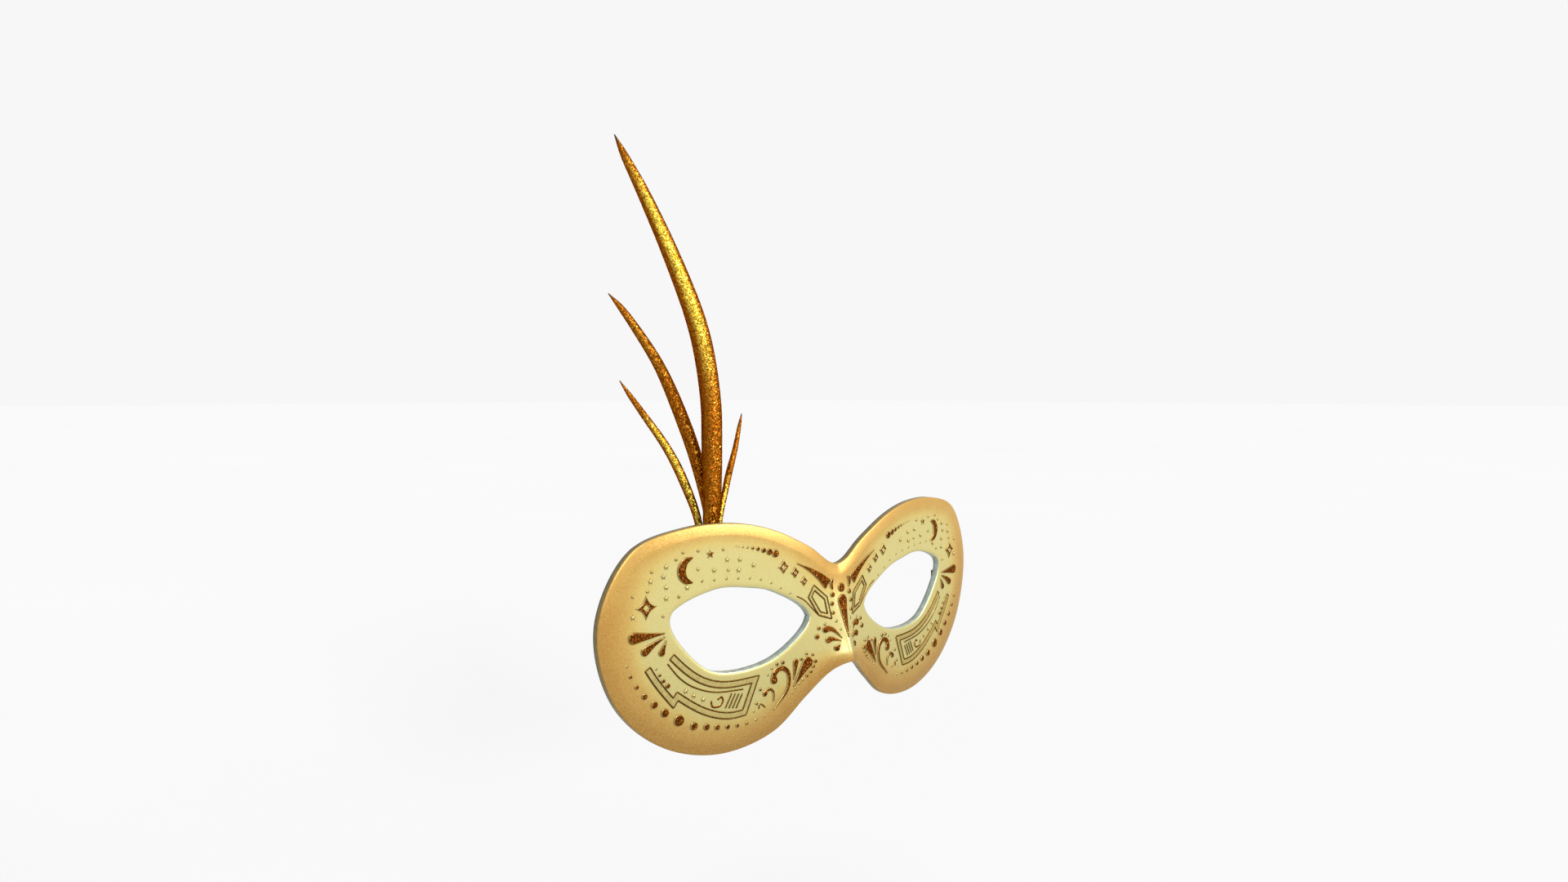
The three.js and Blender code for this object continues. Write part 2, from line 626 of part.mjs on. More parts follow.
// The plume block, seen from above: a flat base with screw ears and a round-cornered body.
function blockGeometry() {
  const [ear, half, r] = [BLOCK_BASE_HALF_WIDTH, BLOCK_BODY_HALF_WIDTH, BLOCK_CORNER_R];
  const earTop = GAP + BLOCK_BASE_THICKNESS;
  const bodyTop = GAP + BLOCK_BODY_DEPTH;
  const shape = new THREE.Shape();
  shape.moveTo(-ear, GAP);
  shape.lineTo(ear, GAP);
  shape.lineTo(ear, earTop);
  shape.lineTo(half, earTop);
  shape.absarc(half - r, bodyTop - r, r, 0, Math.PI / 2, false);
  shape.absarc(r - half, bodyTop - r, r, Math.PI / 2, Math.PI, false);
  shape.lineTo(-half, earTop);
  shape.lineTo(-ear, earTop);
  shape.closePath();
  const options = { depth: BLOCK_HEIGHT, bevelEnabled: false, curveSegments: 5 };
  return new THREE.ExtrudeGeometry(shape, options).translate(0, 0, -BLOCK_HEIGHT / 2);
}

const toBlock = blockFrame.matrixWorld.clone().invert();
const sockets = Object.values(PLUMES).map(([[x, y, z, radius], ...rest]) => (
  horn([[x, y, z - GAP, radius], ...rest], GAP).applyMatrix4(toBlock)
));
const backOfBase = GAP + BLOCK_BASE_THICKNESS + GAP;
const blockScrewHoles = blockScrewSpots.map((spot) => screwHole(spot, 0, backOfBase));
const block = cut(blockGeometry(), [...sockets, ...blockScrewHoles]);
addPiece('plume_block', block, BLACK_NYLON, blockFrame);
screw('plume_screw_outer', blockFrame, blockScrewSpots[0], backOfBase);
screw('plume_screw_inner', blockFrame, blockScrewSpots[1], backOfBase);
for (const [name, stations] of Object.entries(PLUMES)) {
  addPiece(name, horn(stations), PLUME_GOLD);
}

// ---------------------------------------------------------------- ornaments

// A raised piece over a grid of [x, z] points, standing on its glue line.
function relief(name, grid, closed, height = RELIEF_HEIGHT, material = GLITTER_COPPER) {
  const underside = (x, z) => frontY(x, z) - GAP;
  const top = (x, z) => underside(x, z) - height;
  addPiece(name, slab(grid, closed, top, underside), material);
}

// A stroke along a smooth line: halfWidth gives its half width at each share of its length.
function strokeGrid(points, halfWidth, spans = STROKE_SPANS, columns = 1) {
  const curve = smoothPath(points.map(([x, z]) => new THREE.Vector3(x, 0, z)));
  const grid = [];
  for (let i = 0; i <= spans; i += 1) {
    const share = 0.5 - 0.5 * Math.cos((Math.PI * i) / spans);
    const p = curve.getPointAt(share);
    const t = curve.getTangentAt(share);
    const reach = Math.max(halfWidth(share), LEAST_HALF_WIDTH);
    const row = [];
    for (let j = 0; j <= columns; j += 1) {
      const across = reach * ((2 * j) / columns - 1);
      row.push([p.x - t.z * across, p.z + t.x * across]);
    }
    grid.push(row);
  }
  return grid;
}

function lengthOf(points) {
  const steps = points.slice(1).map(([x, z], i) => Math.hypot(x - points[i][0], z - points[i][1]));
  return steps.reduce((sum, step) => sum + step, 0);
}

// A drop: a round head and a tail that narrows to a point.
function dropGrid(points, radius, columns = 1) {
  const length = lengthOf(points);
  const halfWidth = (share) => {
    const s = share * length;
    if (s < radius) {
      return Math.sqrt(Math.max(radius * radius - (radius - s) ** 2, 0));
    }
    const taper = (s - radius) / (length - radius);
    return radius * (1 - taper) ** DROP_TAPER * (1 - DROP_WAIST * taper);
  };
  return strokeGrid(points, halfWidth, STROKE_SPANS, columns);
}

// A scroll's half width: a round ball, then a stroke that thins out.
function scrollWidth(length, ball, stroke) {
  return (share) => {
    const fromMiddle = share * length - ball;
    const inBall = Math.sqrt(Math.max(ball * ball - fromMiddle * fromMiddle, 0));
    return fromMiddle < 0 ? inBall : Math.max(inBall, stroke * (1 - share) ** SCROLL_TAPER);
  };
}

// A round dot, in rows from its top to its bottom.
function dotGrid([x, z], radius) {
  const grid = [];
  for (let i = 0; i <= DOT_ROWS; i += 1) {
    const angle = (Math.PI * i) / DOT_ROWS;
    const reach = Math.max(radius * Math.sin(angle), LEAST_HALF_WIDTH);
    grid.push([-1, 0, 1].map((share) => [x + share * reach, z + radius * Math.cos(angle)]));
  }
  return grid;
}

// Points along an arc between two angles in degrees.
function arcPoints([x, z], radius, from, to) {
  return [0, 0.25, 0.5, 0.75, 1].map((share) => {
    const angle = THREE.MathUtils.degToRad(THREE.MathUtils.lerp(from, to, share));
    return [x + radius * Math.cos(angle), z + radius * Math.sin(angle)];
  });
}

// A four-pointed star round a square hole that stands on its corner.
function starGrid([x, z], [halfWidth, halfHeight], bend, hole) {
  const grid = [];
  for (let i = 0; i < STAR_POINTS; i += 1) {
    const angle = (2 * Math.PI * i) / STAR_POINTS;
    const [c, s] = [Math.cos(angle), Math.sin(angle)];
    const star = [c, s].map((value) => Math.sign(value) * Math.abs(value) ** bend);
    const square = [c * Math.abs(c), s * Math.abs(s)];
    grid.push([
      [x + halfWidth * star[0], z + halfHeight * star[1]],
      [x + hole * square[0], z + hole * square[1]],
    ]);
  }
  return grid;
}

// For each point of a line, the step sideways that keeps a parallel line one unit away.
function mitres(line, closed) {
  const n = line.length;
  const direction = (i, j) => {
    const [[ax, az], [bx, bz]] = [line[(i + n) % n], line[j % n]];
    return new THREE.Vector2(bx - ax, bz - az).normalize();
  };
  return line.map((_, i) => {
    const before = closed || i > 0 ? direction(i - 1, i) : direction(0, 1);
    const after = closed || i < n - 1 ? direction(i, i + 1) : direction(n - 2, n - 1);
    const scale = 1 / (1 + before.dot(after));
    return [-scale * (before.y + after.y), scale * (before.x + after.x)];
  });
}

// A straight-sided frame between a polygon and the same polygon drawn in by its border.
function frameGrid(corners, border) {
  const across = mitres(corners, true);
  return corners.map(([x, z], i) => [[x, z], [x + border * across[i][0], z + border * across[i][1]]]);
}

// A band of even width along smooth runs that meet at sharp corners.
function bandGrid(runs, halfWidth) {
  const line = runs.flatMap((run, i) => {
    const curve = smoothPath(run.map(([x, z]) => new THREE.Vector3(x, 0, z)));
    const points = curve.getPoints(2 * (run.length - 2) + 1).map((p) => [p.x, p.z]);
    return i < runs.length - 1 ? points.slice(0, -1) : points;
  });
  const across = mitres(line, false);
  return line.map(([x, z], i) => [-1, 1].map((side) => (
    [x + side * halfWidth * across[i][0], z + side * halfWidth * across[i][1]]
  )));
}

relief('centre_dot', dotGrid(CENTRE_DOT.at, CENTRE_DOT.radius), false);
relief('nose_drop', dropGrid(NOSE_DROP.points, NOSE_DROP.radius, 2), false);

for (const [sideName, side] of Object.entries(SIDES)) {
  const put = (points) => sideways(points, side);
  const putPoint = ([x, z]) => [x * side, z];
  for (const [name, { at, reach, bend, hole }] of Object.entries(STARS)) {
    relief(`${name}_${sideName}`, starGrid(putPoint(at), reach, bend, hole), true);
  }
  for (const [name, { radius, points }] of Object.entries(DROPS)) {
    relief(`${name}_${sideName}`, dropGrid(put(points), radius), false);
  }
  for (const [name, { centre, radius, from, to, halfWidth }] of Object.entries(CRESCENTS)) {
    const line = put(arcPoints(centre, radius, from, to));
    const width = (share) => halfWidth * Math.sin(Math.PI * share) ** CRESCENT_TAPER;
    relief(`${name}_${sideName}`, strokeGrid(line, width), false);
  }
  for (const [name, { points, ball, stroke, spans }] of Object.entries(SCROLLS)) {
    const width = scrollWidth(lengthOf(points), ball, stroke);
    relief(`${name}_${sideName}`, strokeGrid(put(points), width, spans), false);
  }
  const wingWidth = (share) => BROW_WING.halfWidth * (1 - share) ** WING_TAPER;
  relief(`brow_wing_${sideName}`, strokeGrid(put(BROW_WING.points), wingWidth), false);
  const frameBorder = side * NOSE_FRAME.border;
  const noseFrame = frameGrid(put(NOSE_FRAME.corners), frameBorder);
  relief(`nose_frame_${sideName}`, noseFrame, true, BAND_HEIGHT, PEACH_GOLD);
  const cheekBand = bandGrid(CHEEK_BAND.runs.map(put), CHEEK_BAND.halfWidth);
  relief(`cheek_band_${sideName}`, cheekBand, false, BAND_HEIGHT, PEACH_GOLD);
  relief(`rim_dot_${sideName}`, dotGrid(putPoint(RIM_DOT.at), RIM_DOT.radius), false);
}

export default mask;
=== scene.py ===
import json
import math

import bmesh
import bpy
import numpy as np
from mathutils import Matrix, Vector
from mathutils.geometry import delaunay_2d_cdt


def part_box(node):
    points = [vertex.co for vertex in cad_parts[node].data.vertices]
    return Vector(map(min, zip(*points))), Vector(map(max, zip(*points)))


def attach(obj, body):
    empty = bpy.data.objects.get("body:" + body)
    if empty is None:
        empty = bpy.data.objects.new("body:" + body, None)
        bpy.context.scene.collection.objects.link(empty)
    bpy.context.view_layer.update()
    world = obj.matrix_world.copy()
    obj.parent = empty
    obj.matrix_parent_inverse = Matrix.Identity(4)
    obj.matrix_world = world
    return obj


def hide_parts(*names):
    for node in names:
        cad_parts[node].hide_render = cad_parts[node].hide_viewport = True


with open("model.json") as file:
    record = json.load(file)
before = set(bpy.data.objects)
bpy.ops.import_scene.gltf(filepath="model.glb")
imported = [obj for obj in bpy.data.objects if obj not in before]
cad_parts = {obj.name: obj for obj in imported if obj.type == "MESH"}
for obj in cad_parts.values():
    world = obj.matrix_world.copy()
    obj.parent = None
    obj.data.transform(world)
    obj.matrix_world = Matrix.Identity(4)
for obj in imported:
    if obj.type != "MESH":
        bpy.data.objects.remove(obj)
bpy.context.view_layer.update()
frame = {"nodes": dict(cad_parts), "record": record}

MM = 0.001
SHARP = math.radians(42)     # an outline that turns more than this at a point has a corner there
RNG = np.random.default_rng(7)

# ------------------------------------------------------------------ camera

CAMERA_AZIMUTH = math.radians(-44.27)
CAMERA_ELEVATION = math.radians(2.93)
CAMERA_DISTANCE = 0.36
CAMERA_TARGET = Vector((0, 0.0219, 0.0598))
CAMERA_LENS = 21.71


def add_object(name, data):
    made = bpy.data.objects.new(name, data)
    bpy.context.scene.collection.objects.link(made)
    return made


def add_camera():
    flat = math.cos(CAMERA_ELEVATION)
    back = Vector((math.sin(CAMERA_AZIMUTH) * flat, -math.cos(CAMERA_AZIMUTH) * flat,
                   math.sin(CAMERA_ELEVATION)))
    data = bpy.data.cameras.new("camera")
    data.sensor_fit = "HORIZONTAL"
    data.sensor_width = 36
    data.lens = CAMERA_LENS
    data.clip_start = 0.01
    data.clip_end = 100
    camera = add_object("camera", data)
    camera.location = CAMERA_TARGET + back * CAMERA_DISTANCE
    camera.rotation_euler = (-back).to_track_quat("-Z", "Y").to_euler()
    bpy.context.scene.camera = camera


add_camera()
bpy.context.scene.view_settings.view_transform = "Standard"

# ------------------------------------------------------------------ materials


class Paint:
    """A node material with one Principled shader, and short ways to add and join its nodes."""

    def __init__(self, name, **settings):
        self.material = bpy.data.materials.new(name)
        self.material.use_nodes = True
        self.tree = self.material.node_tree
        self.tree.nodes.clear()
        self.shader = self.tree.nodes.new("ShaderNodeBsdfPrincipled")
        output = self.tree.nodes.new("ShaderNodeOutputMaterial")
        self.tree.links.new(self.shader.outputs[0], output.inputs["Surface"])
        for socket, value in settings.items():
            self.shader.inputs[socket.replace("_", " ")].default_value = value
        self.place = self.node("ShaderNodeTexCoord").outputs["Object"]

    def node(self, kind, inputs=None, **settings):
        made = self.tree.nodes.new(kind)
        for name, value in settings.items():
            setattr(made, name, value)
        for socket, value in (inputs or {}).items():
            self.feed(made.inputs[socket], value)
        return made

    def feed(self, socket, value):
        if isinstance(value, bpy.types.NodeSocket):
            self.tree.links.new(value, socket)
        else:
            socket.default_value = value

    def set(self, socket, value):
        self.feed(self.shader.inputs[socket], value)

    def attribute(self, name):
        return self.node("ShaderNodeAttribute", attribute_name=name).outputs["Fac"]

    def noise(self, size, detail=3.0, roughness=0.5, output="Fac", place=None):
        inputs = {"Vector": place or self.place, "Scale": 1 / (size * MM), "Detail": detail,
                  "Roughness": roughness}
        return self.node("ShaderNodeTexNoise", inputs).outputs[output]

    def cells(self, size, output="Color", feature="F1", place=None):
        inputs = {"Vector": place or self.place, "Scale": 1 / (size * MM)}
        return self.node("ShaderNodeTexVoronoi", inputs, feature=feature).outputs[output]

    def ramp(self, factor, *stops):
        made = self.node("ShaderNodeValToRGB", {"Fac": factor})
        elements = made.color_ramp.elements
        while len(elements) < len(stops):
            elements.new(0.5)
        for element, (position, color) in zip(elements, stops):
            element.position = position
            element.color = (*color, 1)
        return made.outputs["Color"]

    def mix(self, factor, a, b, blend="MIX"):
        made = self.node("ShaderNodeMix", data_type="RGBA", blend_type=blend)
        for socket, value in ((made.inputs[0], factor), (made.inputs[6], a), (made.inputs[7], b)):
            if isinstance(value, tuple) and len(value) == 3:
                value = (*value, 1)
            self.feed(socket, value)
        return made.outputs[2]

    def math(self, operation, a, b=0.0, clamp=False):
        made = self.node("ShaderNodeMath", operation=operation, use_clamp=clamp)
        self.feed(made.inputs[0], a)
        self.feed(made.inputs[1], b)
        return made.outputs[0]

    def scaled(self, value, factor, start=0.0):
        """The value times a factor, counted from a start."""
        made = self.math("MULTIPLY", value, factor)
        return self.math("ADD", start, made) if start else made

    def vector(self, operation, a, b=None, scale=None):
        made = self.node("ShaderNodeVectorMath", operation=operation)
        self.feed(made.inputs[0], a)
        if b is not None:
            self.feed(made.inputs[1], b)
        if scale is not None:
            self.feed(made.inputs["Scale"], scale)
        return made.outputs[0]

    def bump(self, height, depth, strength=1.0, normal=None):
        inputs = {"Height": height, "Distance": depth * MM, "Strength": strength}
        if normal is not None:
            inputs["Normal"] = normal
        return self.node("ShaderNodeBump", inputs).outputs["Normal"]

    def flakes(self, size, tilt, share=1.0):
        """A normal that leans a random way in each glitter flake."""
        lean = self.vector("SUBTRACT", self.cells(size), (0.5, 0.5, 0.5))
        lean = self.vector("SCALE", lean, scale=self.math("MULTIPLY", share, tilt))
        normal = self.node("ShaderNodeNewGeometry").outputs["Normal"]
        return self.vector("NORMALIZE", self.vector("ADD", normal, lean))

    def channel(self, color, which="Red"):
        return self.node("ShaderNodeSeparateColor", {"Color": color}).outputs[which]


# How wide the flakes are, in millimetres.
MICA_FLAKE = 0.22
GLITTER_FLAKE = 0.42
PLUME_FLAKE = 0.34

IVORY = (0.39, 0.345, 0.135)
WARM_IVORY = (0.40, 0.30, 0.085)
HONEY = (0.345, 0.195, 0.036)
ORANGE_GOLD = (0.29, 0.135, 0.014)


def pearl_paint():
    """Pearly ivory, airbrushed orange gold towards the rim, with painted shade darkening it towards the
    bottom, a dark outer edge wall as painted shade and grey-green eye walls as painted reflection.
    """
    p = Paint("pearl gold", Metallic=0.45, Specular_Tint=(1.0, 0.86, 0.55, 1.0))
    cloud = p.noise(9, 4)
    fade = p.math("ADD", p.attribute("gild"), p.scaled(p.math("SUBTRACT", cloud, 0.5), 0.35))
    color = p.ramp(fade, (0.0, IVORY), (0.3, WARM_IVORY), (0.65, HONEY), (1.0, ORANGE_GOLD))
    # Painted shade: the paint darkens towards the bottom, to 0.72 of its colour at the lowest point, as if
    # lit from above.
    height = p.node("ShaderNodeSeparateXYZ", {"Vector": p.place}).outputs["Z"]
    low = p.node("ShaderNodeMapRange", {"Value": height, "From Min": -0.042, "From Max": 0.012,
                                        "To Min": 0.72, "To Max": 1.0}).outputs["Result"]
    color = p.mix(1.0, color, p.node("ShaderNodeCombineColor", {"Red": low, "Green": low, "Blue": low})
                  .outputs["Color"], "MULTIPLY")
    mica = p.channel(p.cells(MICA_FLAKE))
    color = p.mix(p.scaled(mica, 0.13), color, (0.75, 0.66, 0.36))
    fine = p.noise(0.6, 2)
    color = p.mix(p.scaled(fine, 0.10), color, (0.22, 0.17, 0.055))
    # Painted shade: the outer edge wall is painted dark.
    edge_wall_shade = p.ramp(p.noise(1.6, 4), (0.3, (0.09, 0.07, 0.03)), (0.7, (0.17, 0.13, 0.055)))
    color = p.mix(p.attribute("edge_wall"), color, edge_wall_shade)
    # Painted reflection: the eye walls are painted pale grey-green, for the sky reflected in them.
    painted_sky_reflection = p.ramp(p.noise(2.4, 4), (0.3, (0.20, 0.25, 0.22)), (0.7, (0.34, 0.40, 0.36)))
    color = p.mix(p.attribute("eye_wall"), color, painted_sky_reflection)
    plaster = p.ramp(p.noise(3.5, 6), (0.3, (0.16, 0.12, 0.06)), (0.7, (0.25, 0.19, 0.10)))
    color = p.mix(p.attribute("back"), color, plaster)
    p.set("Base Color", color)
    p.set("Roughness", p.scaled(fine, 0.14, 0.26))
    p.set("Normal", p.bump(p.noise(0.35, 3), 0.012, 0.5, p.flakes(MICA_FLAKE, 0.05)))
    return p.material


def relief_paint(name, bevel, dark, middle, light, tilt=0.9):
    """Pale painted bevels round a top of coarse glitter, with painted shade in the foot of each bevel; the
    edge attribute is 1 on the glitter.
    """
    p = Paint(name, Metallic=0.92, Specular_Tint=(0.9, 0.55, 0.22, 1.0))
    top = p.attribute("edge")
    spark = p.channel(p.cells(GLITTER_FLAKE), "Green")
    glitter = p.ramp(spark, (0.0, dark), (0.55, middle), (0.86, middle), (1.0, light))
    glitter = p.mix(p.scaled(p.noise(0.9, 2), 0.35), glitter, dark)
    worn = p.mix(p.scaled(p.noise(1.2, 3), 0.5), bevel, tuple(0.72 * c for c in bevel))
    color = p.mix(top, worn, glitter)
    # Painted shade: the crease shade attribute darkens the foot of each bevel to a near-black brown.
    p.set("Base Color", p.mix(p.attribute("wash"), color, (0.075, 0.045, 0.010)))
    p.set("Roughness", p.scaled(p.channel(p.cells(GLITTER_FLAKE), "Blue"), 0.2, 0.3))
    p.set("Normal", p.flakes(GLITTER_FLAKE, tilt, top))
    return p.material


def plume_paint():
    """Amber lacquer full of gold flakes, darker at the tips, with a painted highlight of bright gold down
    each plume's front.
    """
    p = Paint("plume glitter", Metallic=1.0, Specular_Tint=(0.55, 0.28, 0.08, 1.0))
    spark = p.channel(p.cells(PLUME_FLAKE), "Green")
    color = p.ramp(spark, (0.0, (0.09, 0.022, 0.001)), (0.5, (0.25, 0.067, 0.003)),
                   (0.85, (0.36, 0.12, 0.008)), (1.0, (0.75, 0.40, 0.05)))
    color = p.mix(p.scaled(p.noise(2.2, 3), 0.4), color, (0.13, 0.038, 0.002))
    # Painted highlight: the gold attribute turns a stripe down each plume pale yellow gold.
    color = p.mix(p.attribute("gold"), color, p.ramp(spark, (0.0, (0.15, 0.06, 0.003)),
                  (0.4, (0.42, 0.25, 0.012)), (1.0, (1.0, 0.80, 0.14))))
    color = p.mix(p.attribute("tip"), color, (0.06, 0.03, 0.012))
    p.set("Base Color", color)
    p.set("Roughness", p.scaled(p.channel(p.cells(PLUME_FLAKE), "Blue"), 0.25, 0.24))
    p.set("Normal", p.flakes(PLUME_FLAKE, 0.75))
    return p.material


def felt_cloth():
    """Short matted pile, with stray lighter fibres."""
    p = Paint("black felt", Roughness=0.96, Sheen_Weight=0.5, Sheen_Roughness=0.5)
    fibre = p.noise(0.5, 6, 0.7)
    tangled = p.vector("ADD", p.place, p.vector("SCALE", p.noise(3, 3, output="Color"), scale=0.002))
    hair = p.node("ShaderNodeTexWave", {"Vector": tangled, "Scale": 900, "Distortion": 14,
                                        "Detail": 4, "Detail Scale": 2}).outputs["Fac"]
    color = p.ramp(fibre, (0.3, (0.012, 0.011, 0.013)), (0.62, (0.032, 0.03, 0.034)),
                   (0.8, (0.075, 0.07, 0.078)))
    color = p.mix(p.scaled(p.math("GREATER_THAN", hair, 0.93), 0.35), color, (0.12, 0.11, 0.12))
    p.set("Base Color", color)
    p.set("Normal", p.bump(p.math("ADD", fibre, p.scaled(hair, 0.5)), 0.12, 0.8))
    return p.material


def foam_rubber():
    """Closed-cell foam: fine cut cells with dark pores."""
    p = Paint("grey foam", Roughness=0.9)
    pore = p.cells(0.35, "Distance")
    color = p.ramp(pore, (0.1, (0.115, 0.11, 0.12)), (0.5, (0.08, 0.076, 0.085)),
                   (0.75, (0.03, 0.028, 0.032)))
    color = p.mix(p.scaled(p.noise(2.5, 3), 0.3), color, (0.14, 0.135, 0.145))
    p.set("Base Color", color)
    p.set("Normal", p.bump(p.math("SUBTRACT", 1, pore), 0.1, 0.9))
    return p.material


def nylon_plastic():
    """Moulded nylon with a fine spark texture and faint flow marks."""
    p = Paint("black nylon", Specular_IOR_Level=0.25)
    grain = p.noise(0.18, 3, 0.6)
    flow = p.noise(5, 3)
    p.set("Base Color", p.ramp(flow, (0.3, (0.022, 0.021, 0.024)), (0.7, (0.042, 0.04, 0.045))))
    p.set("Roughness", p.scaled(grain, 0.2, 0.62))
    p.set("Normal", p.bump(grain, 0.03, 0.7))
    return p.material


def strap_leather():
    """Smooth strap leather: fine pebbled grain, soft creases, worn lighter along its edges."""
    p = Paint("brown leather", Specular_IOR_Level=0.4)
    pebble = p.cells(0.42, "Distance")
    crease = p.noise(1.6, 5, 0.6)
    color = p.ramp(crease, (0.25, (0.075, 0.032, 0.014)), (0.6, (0.14, 0.062, 0.027)),
                   (0.85, (0.20, 0.10, 0.045)))
    color = p.mix(p.scaled(pebble, 0.5), color, (0.06, 0.026, 0.012))
    sharpness = p.node("ShaderNodeNewGeometry").outputs["Pointiness"]
    worn = p.ramp(sharpness, (0.5, (0, 0, 0)), (0.62, (1, 1, 1)))
    color = p.mix(p.scaled(p.channel(worn), 0.5), color, (0.27, 0.15, 0.075))
    p.set("Base Color", color)
    p.set("Roughness", p.scaled(crease, 0.25, 0.42))
    height = p.math("ADD", p.scaled(pebble, -0.6), crease)
    p.set("Normal", p.bump(height, 0.06, 0.7))
    return p.material


def brass_metal():
    """Drawn brass: fine lengthwise scratches, a little tarnish."""
    p = Paint("brass", Metallic=1.0)
    tarnish = p.noise(1.8, 5, 0.65)
    stretched = p.vector("MULTIPLY", p.place, (1, 1, 0.12))
    scratch = p.noise(0.16, 3, 0.7, place=stretched)
    p.set("Base Color", p.ramp(tarnish, (0.3, (0.46, 0.30, 0.10)), (0.55, (0.72, 0.52, 0.22)),
                               (0.75, (0.80, 0.61, 0.29))))
    p.set("Roughness", p.scaled(p.math("ADD", tarnish, scratch), 0.14, 0.16))
    p.set("Normal", p.bump(scratch, 0.01, 0.5))
    return p.material


def thread_fibre():
    """Waxed linen thread with a tight twist."""
    p = Paint("linen thread", Roughness=0.75, Sheen_Weight=0.2)
    twist = p.node("ShaderNodeTexWave", {"Vector": p.place, "Scale": 1500, "Distortion": 3},
                   bands_direction="DIAGONAL").outputs["Fac"]
    p.set("Base Color", p.ramp(twist, (0.2, (0.22, 0.15, 0.07)), (0.8, (0.46, 0.34, 0.19))))
    p.set("Normal", p.bump(twist, 0.05, 0.8))
    return p.material


PALE_BEVEL = (0.55, 0.475, 0.20)
PEARL = pearl_paint()
COPPER = relief_paint("copper glitter", PALE_BEVEL, (0.035, 0.009, 0.001), (0.12, 0.033, 0.003),
                      (0.36, 0.15, 0.02), tilt=0.6)
PEACH = relief_paint("peach gold", (0.42, 0.345, 0.13), (0.035, 0.017, 0.003), (0.07, 0.034, 0.007),
                     (0.15, 0.08, 0.02), tilt=0.3)
PLUME = plume_paint()
FELT = felt_cloth()
FOAM = foam_rubber()
NYLON = nylon_plastic()
LEATHER = strap_leather()
BRASS = brass_metal()
THREAD = thread_fibre()

# ------------------------------------------------------------------ meshes


def make(name, points, faces, material, slot, body="mask", attributes=None, replaces=()):
    """A mesh object from points in millimetres, riding on a body and standing for CAD nodes."""
    mesh = bpy.data.meshes.new(name)
    mesh.from_pydata((np.asarray(points) * MM).tolist(), [], [list(map(int, f)) for f in faces])
    mesh.validate()
    for key, values in (attributes or {}).items():
        layer = mesh.attributes.new(key, "FLOAT", "POINT")
        layer.data.foreach_set("value", np.asarray(values, np.float32))
    mesh.shade_smooth()
    mesh.materials.append(material)
    piece = add_object(name, mesh)
    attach(piece, body)
    if replaces:
        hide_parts(*replaces)
    return piece


def joined(parts):
    """Several (points, faces, attributes) in one, with the faces renumbered."""
    points, faces, attributes = [], [], {}
    count = 0
    for part_points, part_faces, part_attributes in parts:
        points.append(np.asarray(part_points))
        faces.extend([[i + count for i in face] for face in part_faces])
        for key, values in part_attributes.items():
            attributes.setdefault(key, []).append(np.asarray(values))
        count += len(part_points)
    return np.concatenate(points), faces, {k: np.concatenate(v) for k, v in attributes.items()}


def tidy(piece, weld=0.0, chosen=lambda v: True):
    """Joins the chosen points that lie together, and turns every face of the piece outwards."""
    bm = bmesh.new()
    bm.from_mesh(piece.data)
    if weld:
        bmesh.ops.remove_doubles(bm, verts=[v for v in bm.verts if chosen(v)], dist=weld * MM)
    bmesh.ops.recalc_face_normals(bm, faces=bm.faces)
    bm.to_mesh(piece.data)
    bm.free()
    return piece


def ring_faces(rows, sides, closed=False):
    """The faces between rings of points that follow each other."""
    faces = []
    for i in range(rows if closed else rows - 1):
        n = (i + 1) % rows
        for k in range(sides):
            m = (k + 1) % sides
            faces.append([i * sides + k, i * sides + m, n * sides + m, n * sides + k])
    return faces


def end_faces(rows, sides):
    return [list(range(sides))[::-1], [(rows - 1) * sides + k for k in range(sides)]]


def sideways(run, closed=True):
    """At each point of a run, the unit step to the left of the way that it goes."""
    along = np.roll(run, -1, 0) - np.roll(run, 1, 0)
    if not closed:
        along[0], along[-1] = run[1] - run[0], run[-1] - run[-2]
    return np.stack([-along[:, 1], along[:, 0]], 1) / np.maximum(np.hypot(*along.T), 1e-9)[:, None]


def welded(node):
    """A bmesh of a CAD node with its split corners joined again."""
    bm = bmesh.new()
    bm.from_mesh(frame["nodes"][node].data)
    bmesh.ops.remove_doubles(bm, verts=bm.verts, dist=0.002 * MM)
    bm.normal_update()
    return bm


def front_loops(node, facing=-0.3):
    """The outlines of a CAD node's front face, as closed [x, z] loops in millimetres, biggest first."""
    bm = welded(node)
    front = {f.index for f in bm.faces if f.normal.y < facing}
    following = {}
    for face in bm.faces:
        if face.index not in front:
            continue
        for loop in face.loops:
            others = [f for f in loop.edge.link_faces if f.index not in front]
            if others:
                following[loop.vert.index] = loop.edge.other_vert(loop.vert).index
    bm.verts.ensure_lookup_table()
    loops = []
    while following:
        start, at = next(iter(following.items()))
        run = [start]
        del following[start]
        while at != start:
            run.append(at)
            at = following.pop(at)
        loops.append(np.array([[bm.verts[i].co.x, bm.verts[i].co.z] for i in run]) / MM)
    bm.free()
    return sorted(loops, key=lambda run: -np.ptp(run[:, 0]))


def spline(run, steps, closed):
    """Points along a smooth curve through a run of points, the same number between each two."""
    run = np.asarray(run, float)
    if len(run) < 3 and not closed:
        t = np.linspace(0, 1, steps + 1)[:, None]
        return run[0] * (1 - t) + run[1] * t
    if closed:
        padded = np.concatenate([run[-1:], run, run[:2]])
    else:
        padded = np.concatenate([2 * run[:1] - run[1:2], run, 2 * run[-1:] - run[-2:-1]])
    out = []
    for i in range(1, len(padded) - 2):
        a, b, c, d = padded[i - 1], padded[i], padded[i + 1], padded[i + 2]
        for s in np.arange(steps) / steps:
            out.append(0.5 * (2 * b + (c - a) * s + (2 * a - 5 * b + 4 * c - d) * s * s
                              + (3 * b - a - 3 * c + d) * s ** 3))
    if not closed:
        out.append(run[-1])
    return np.array(out)


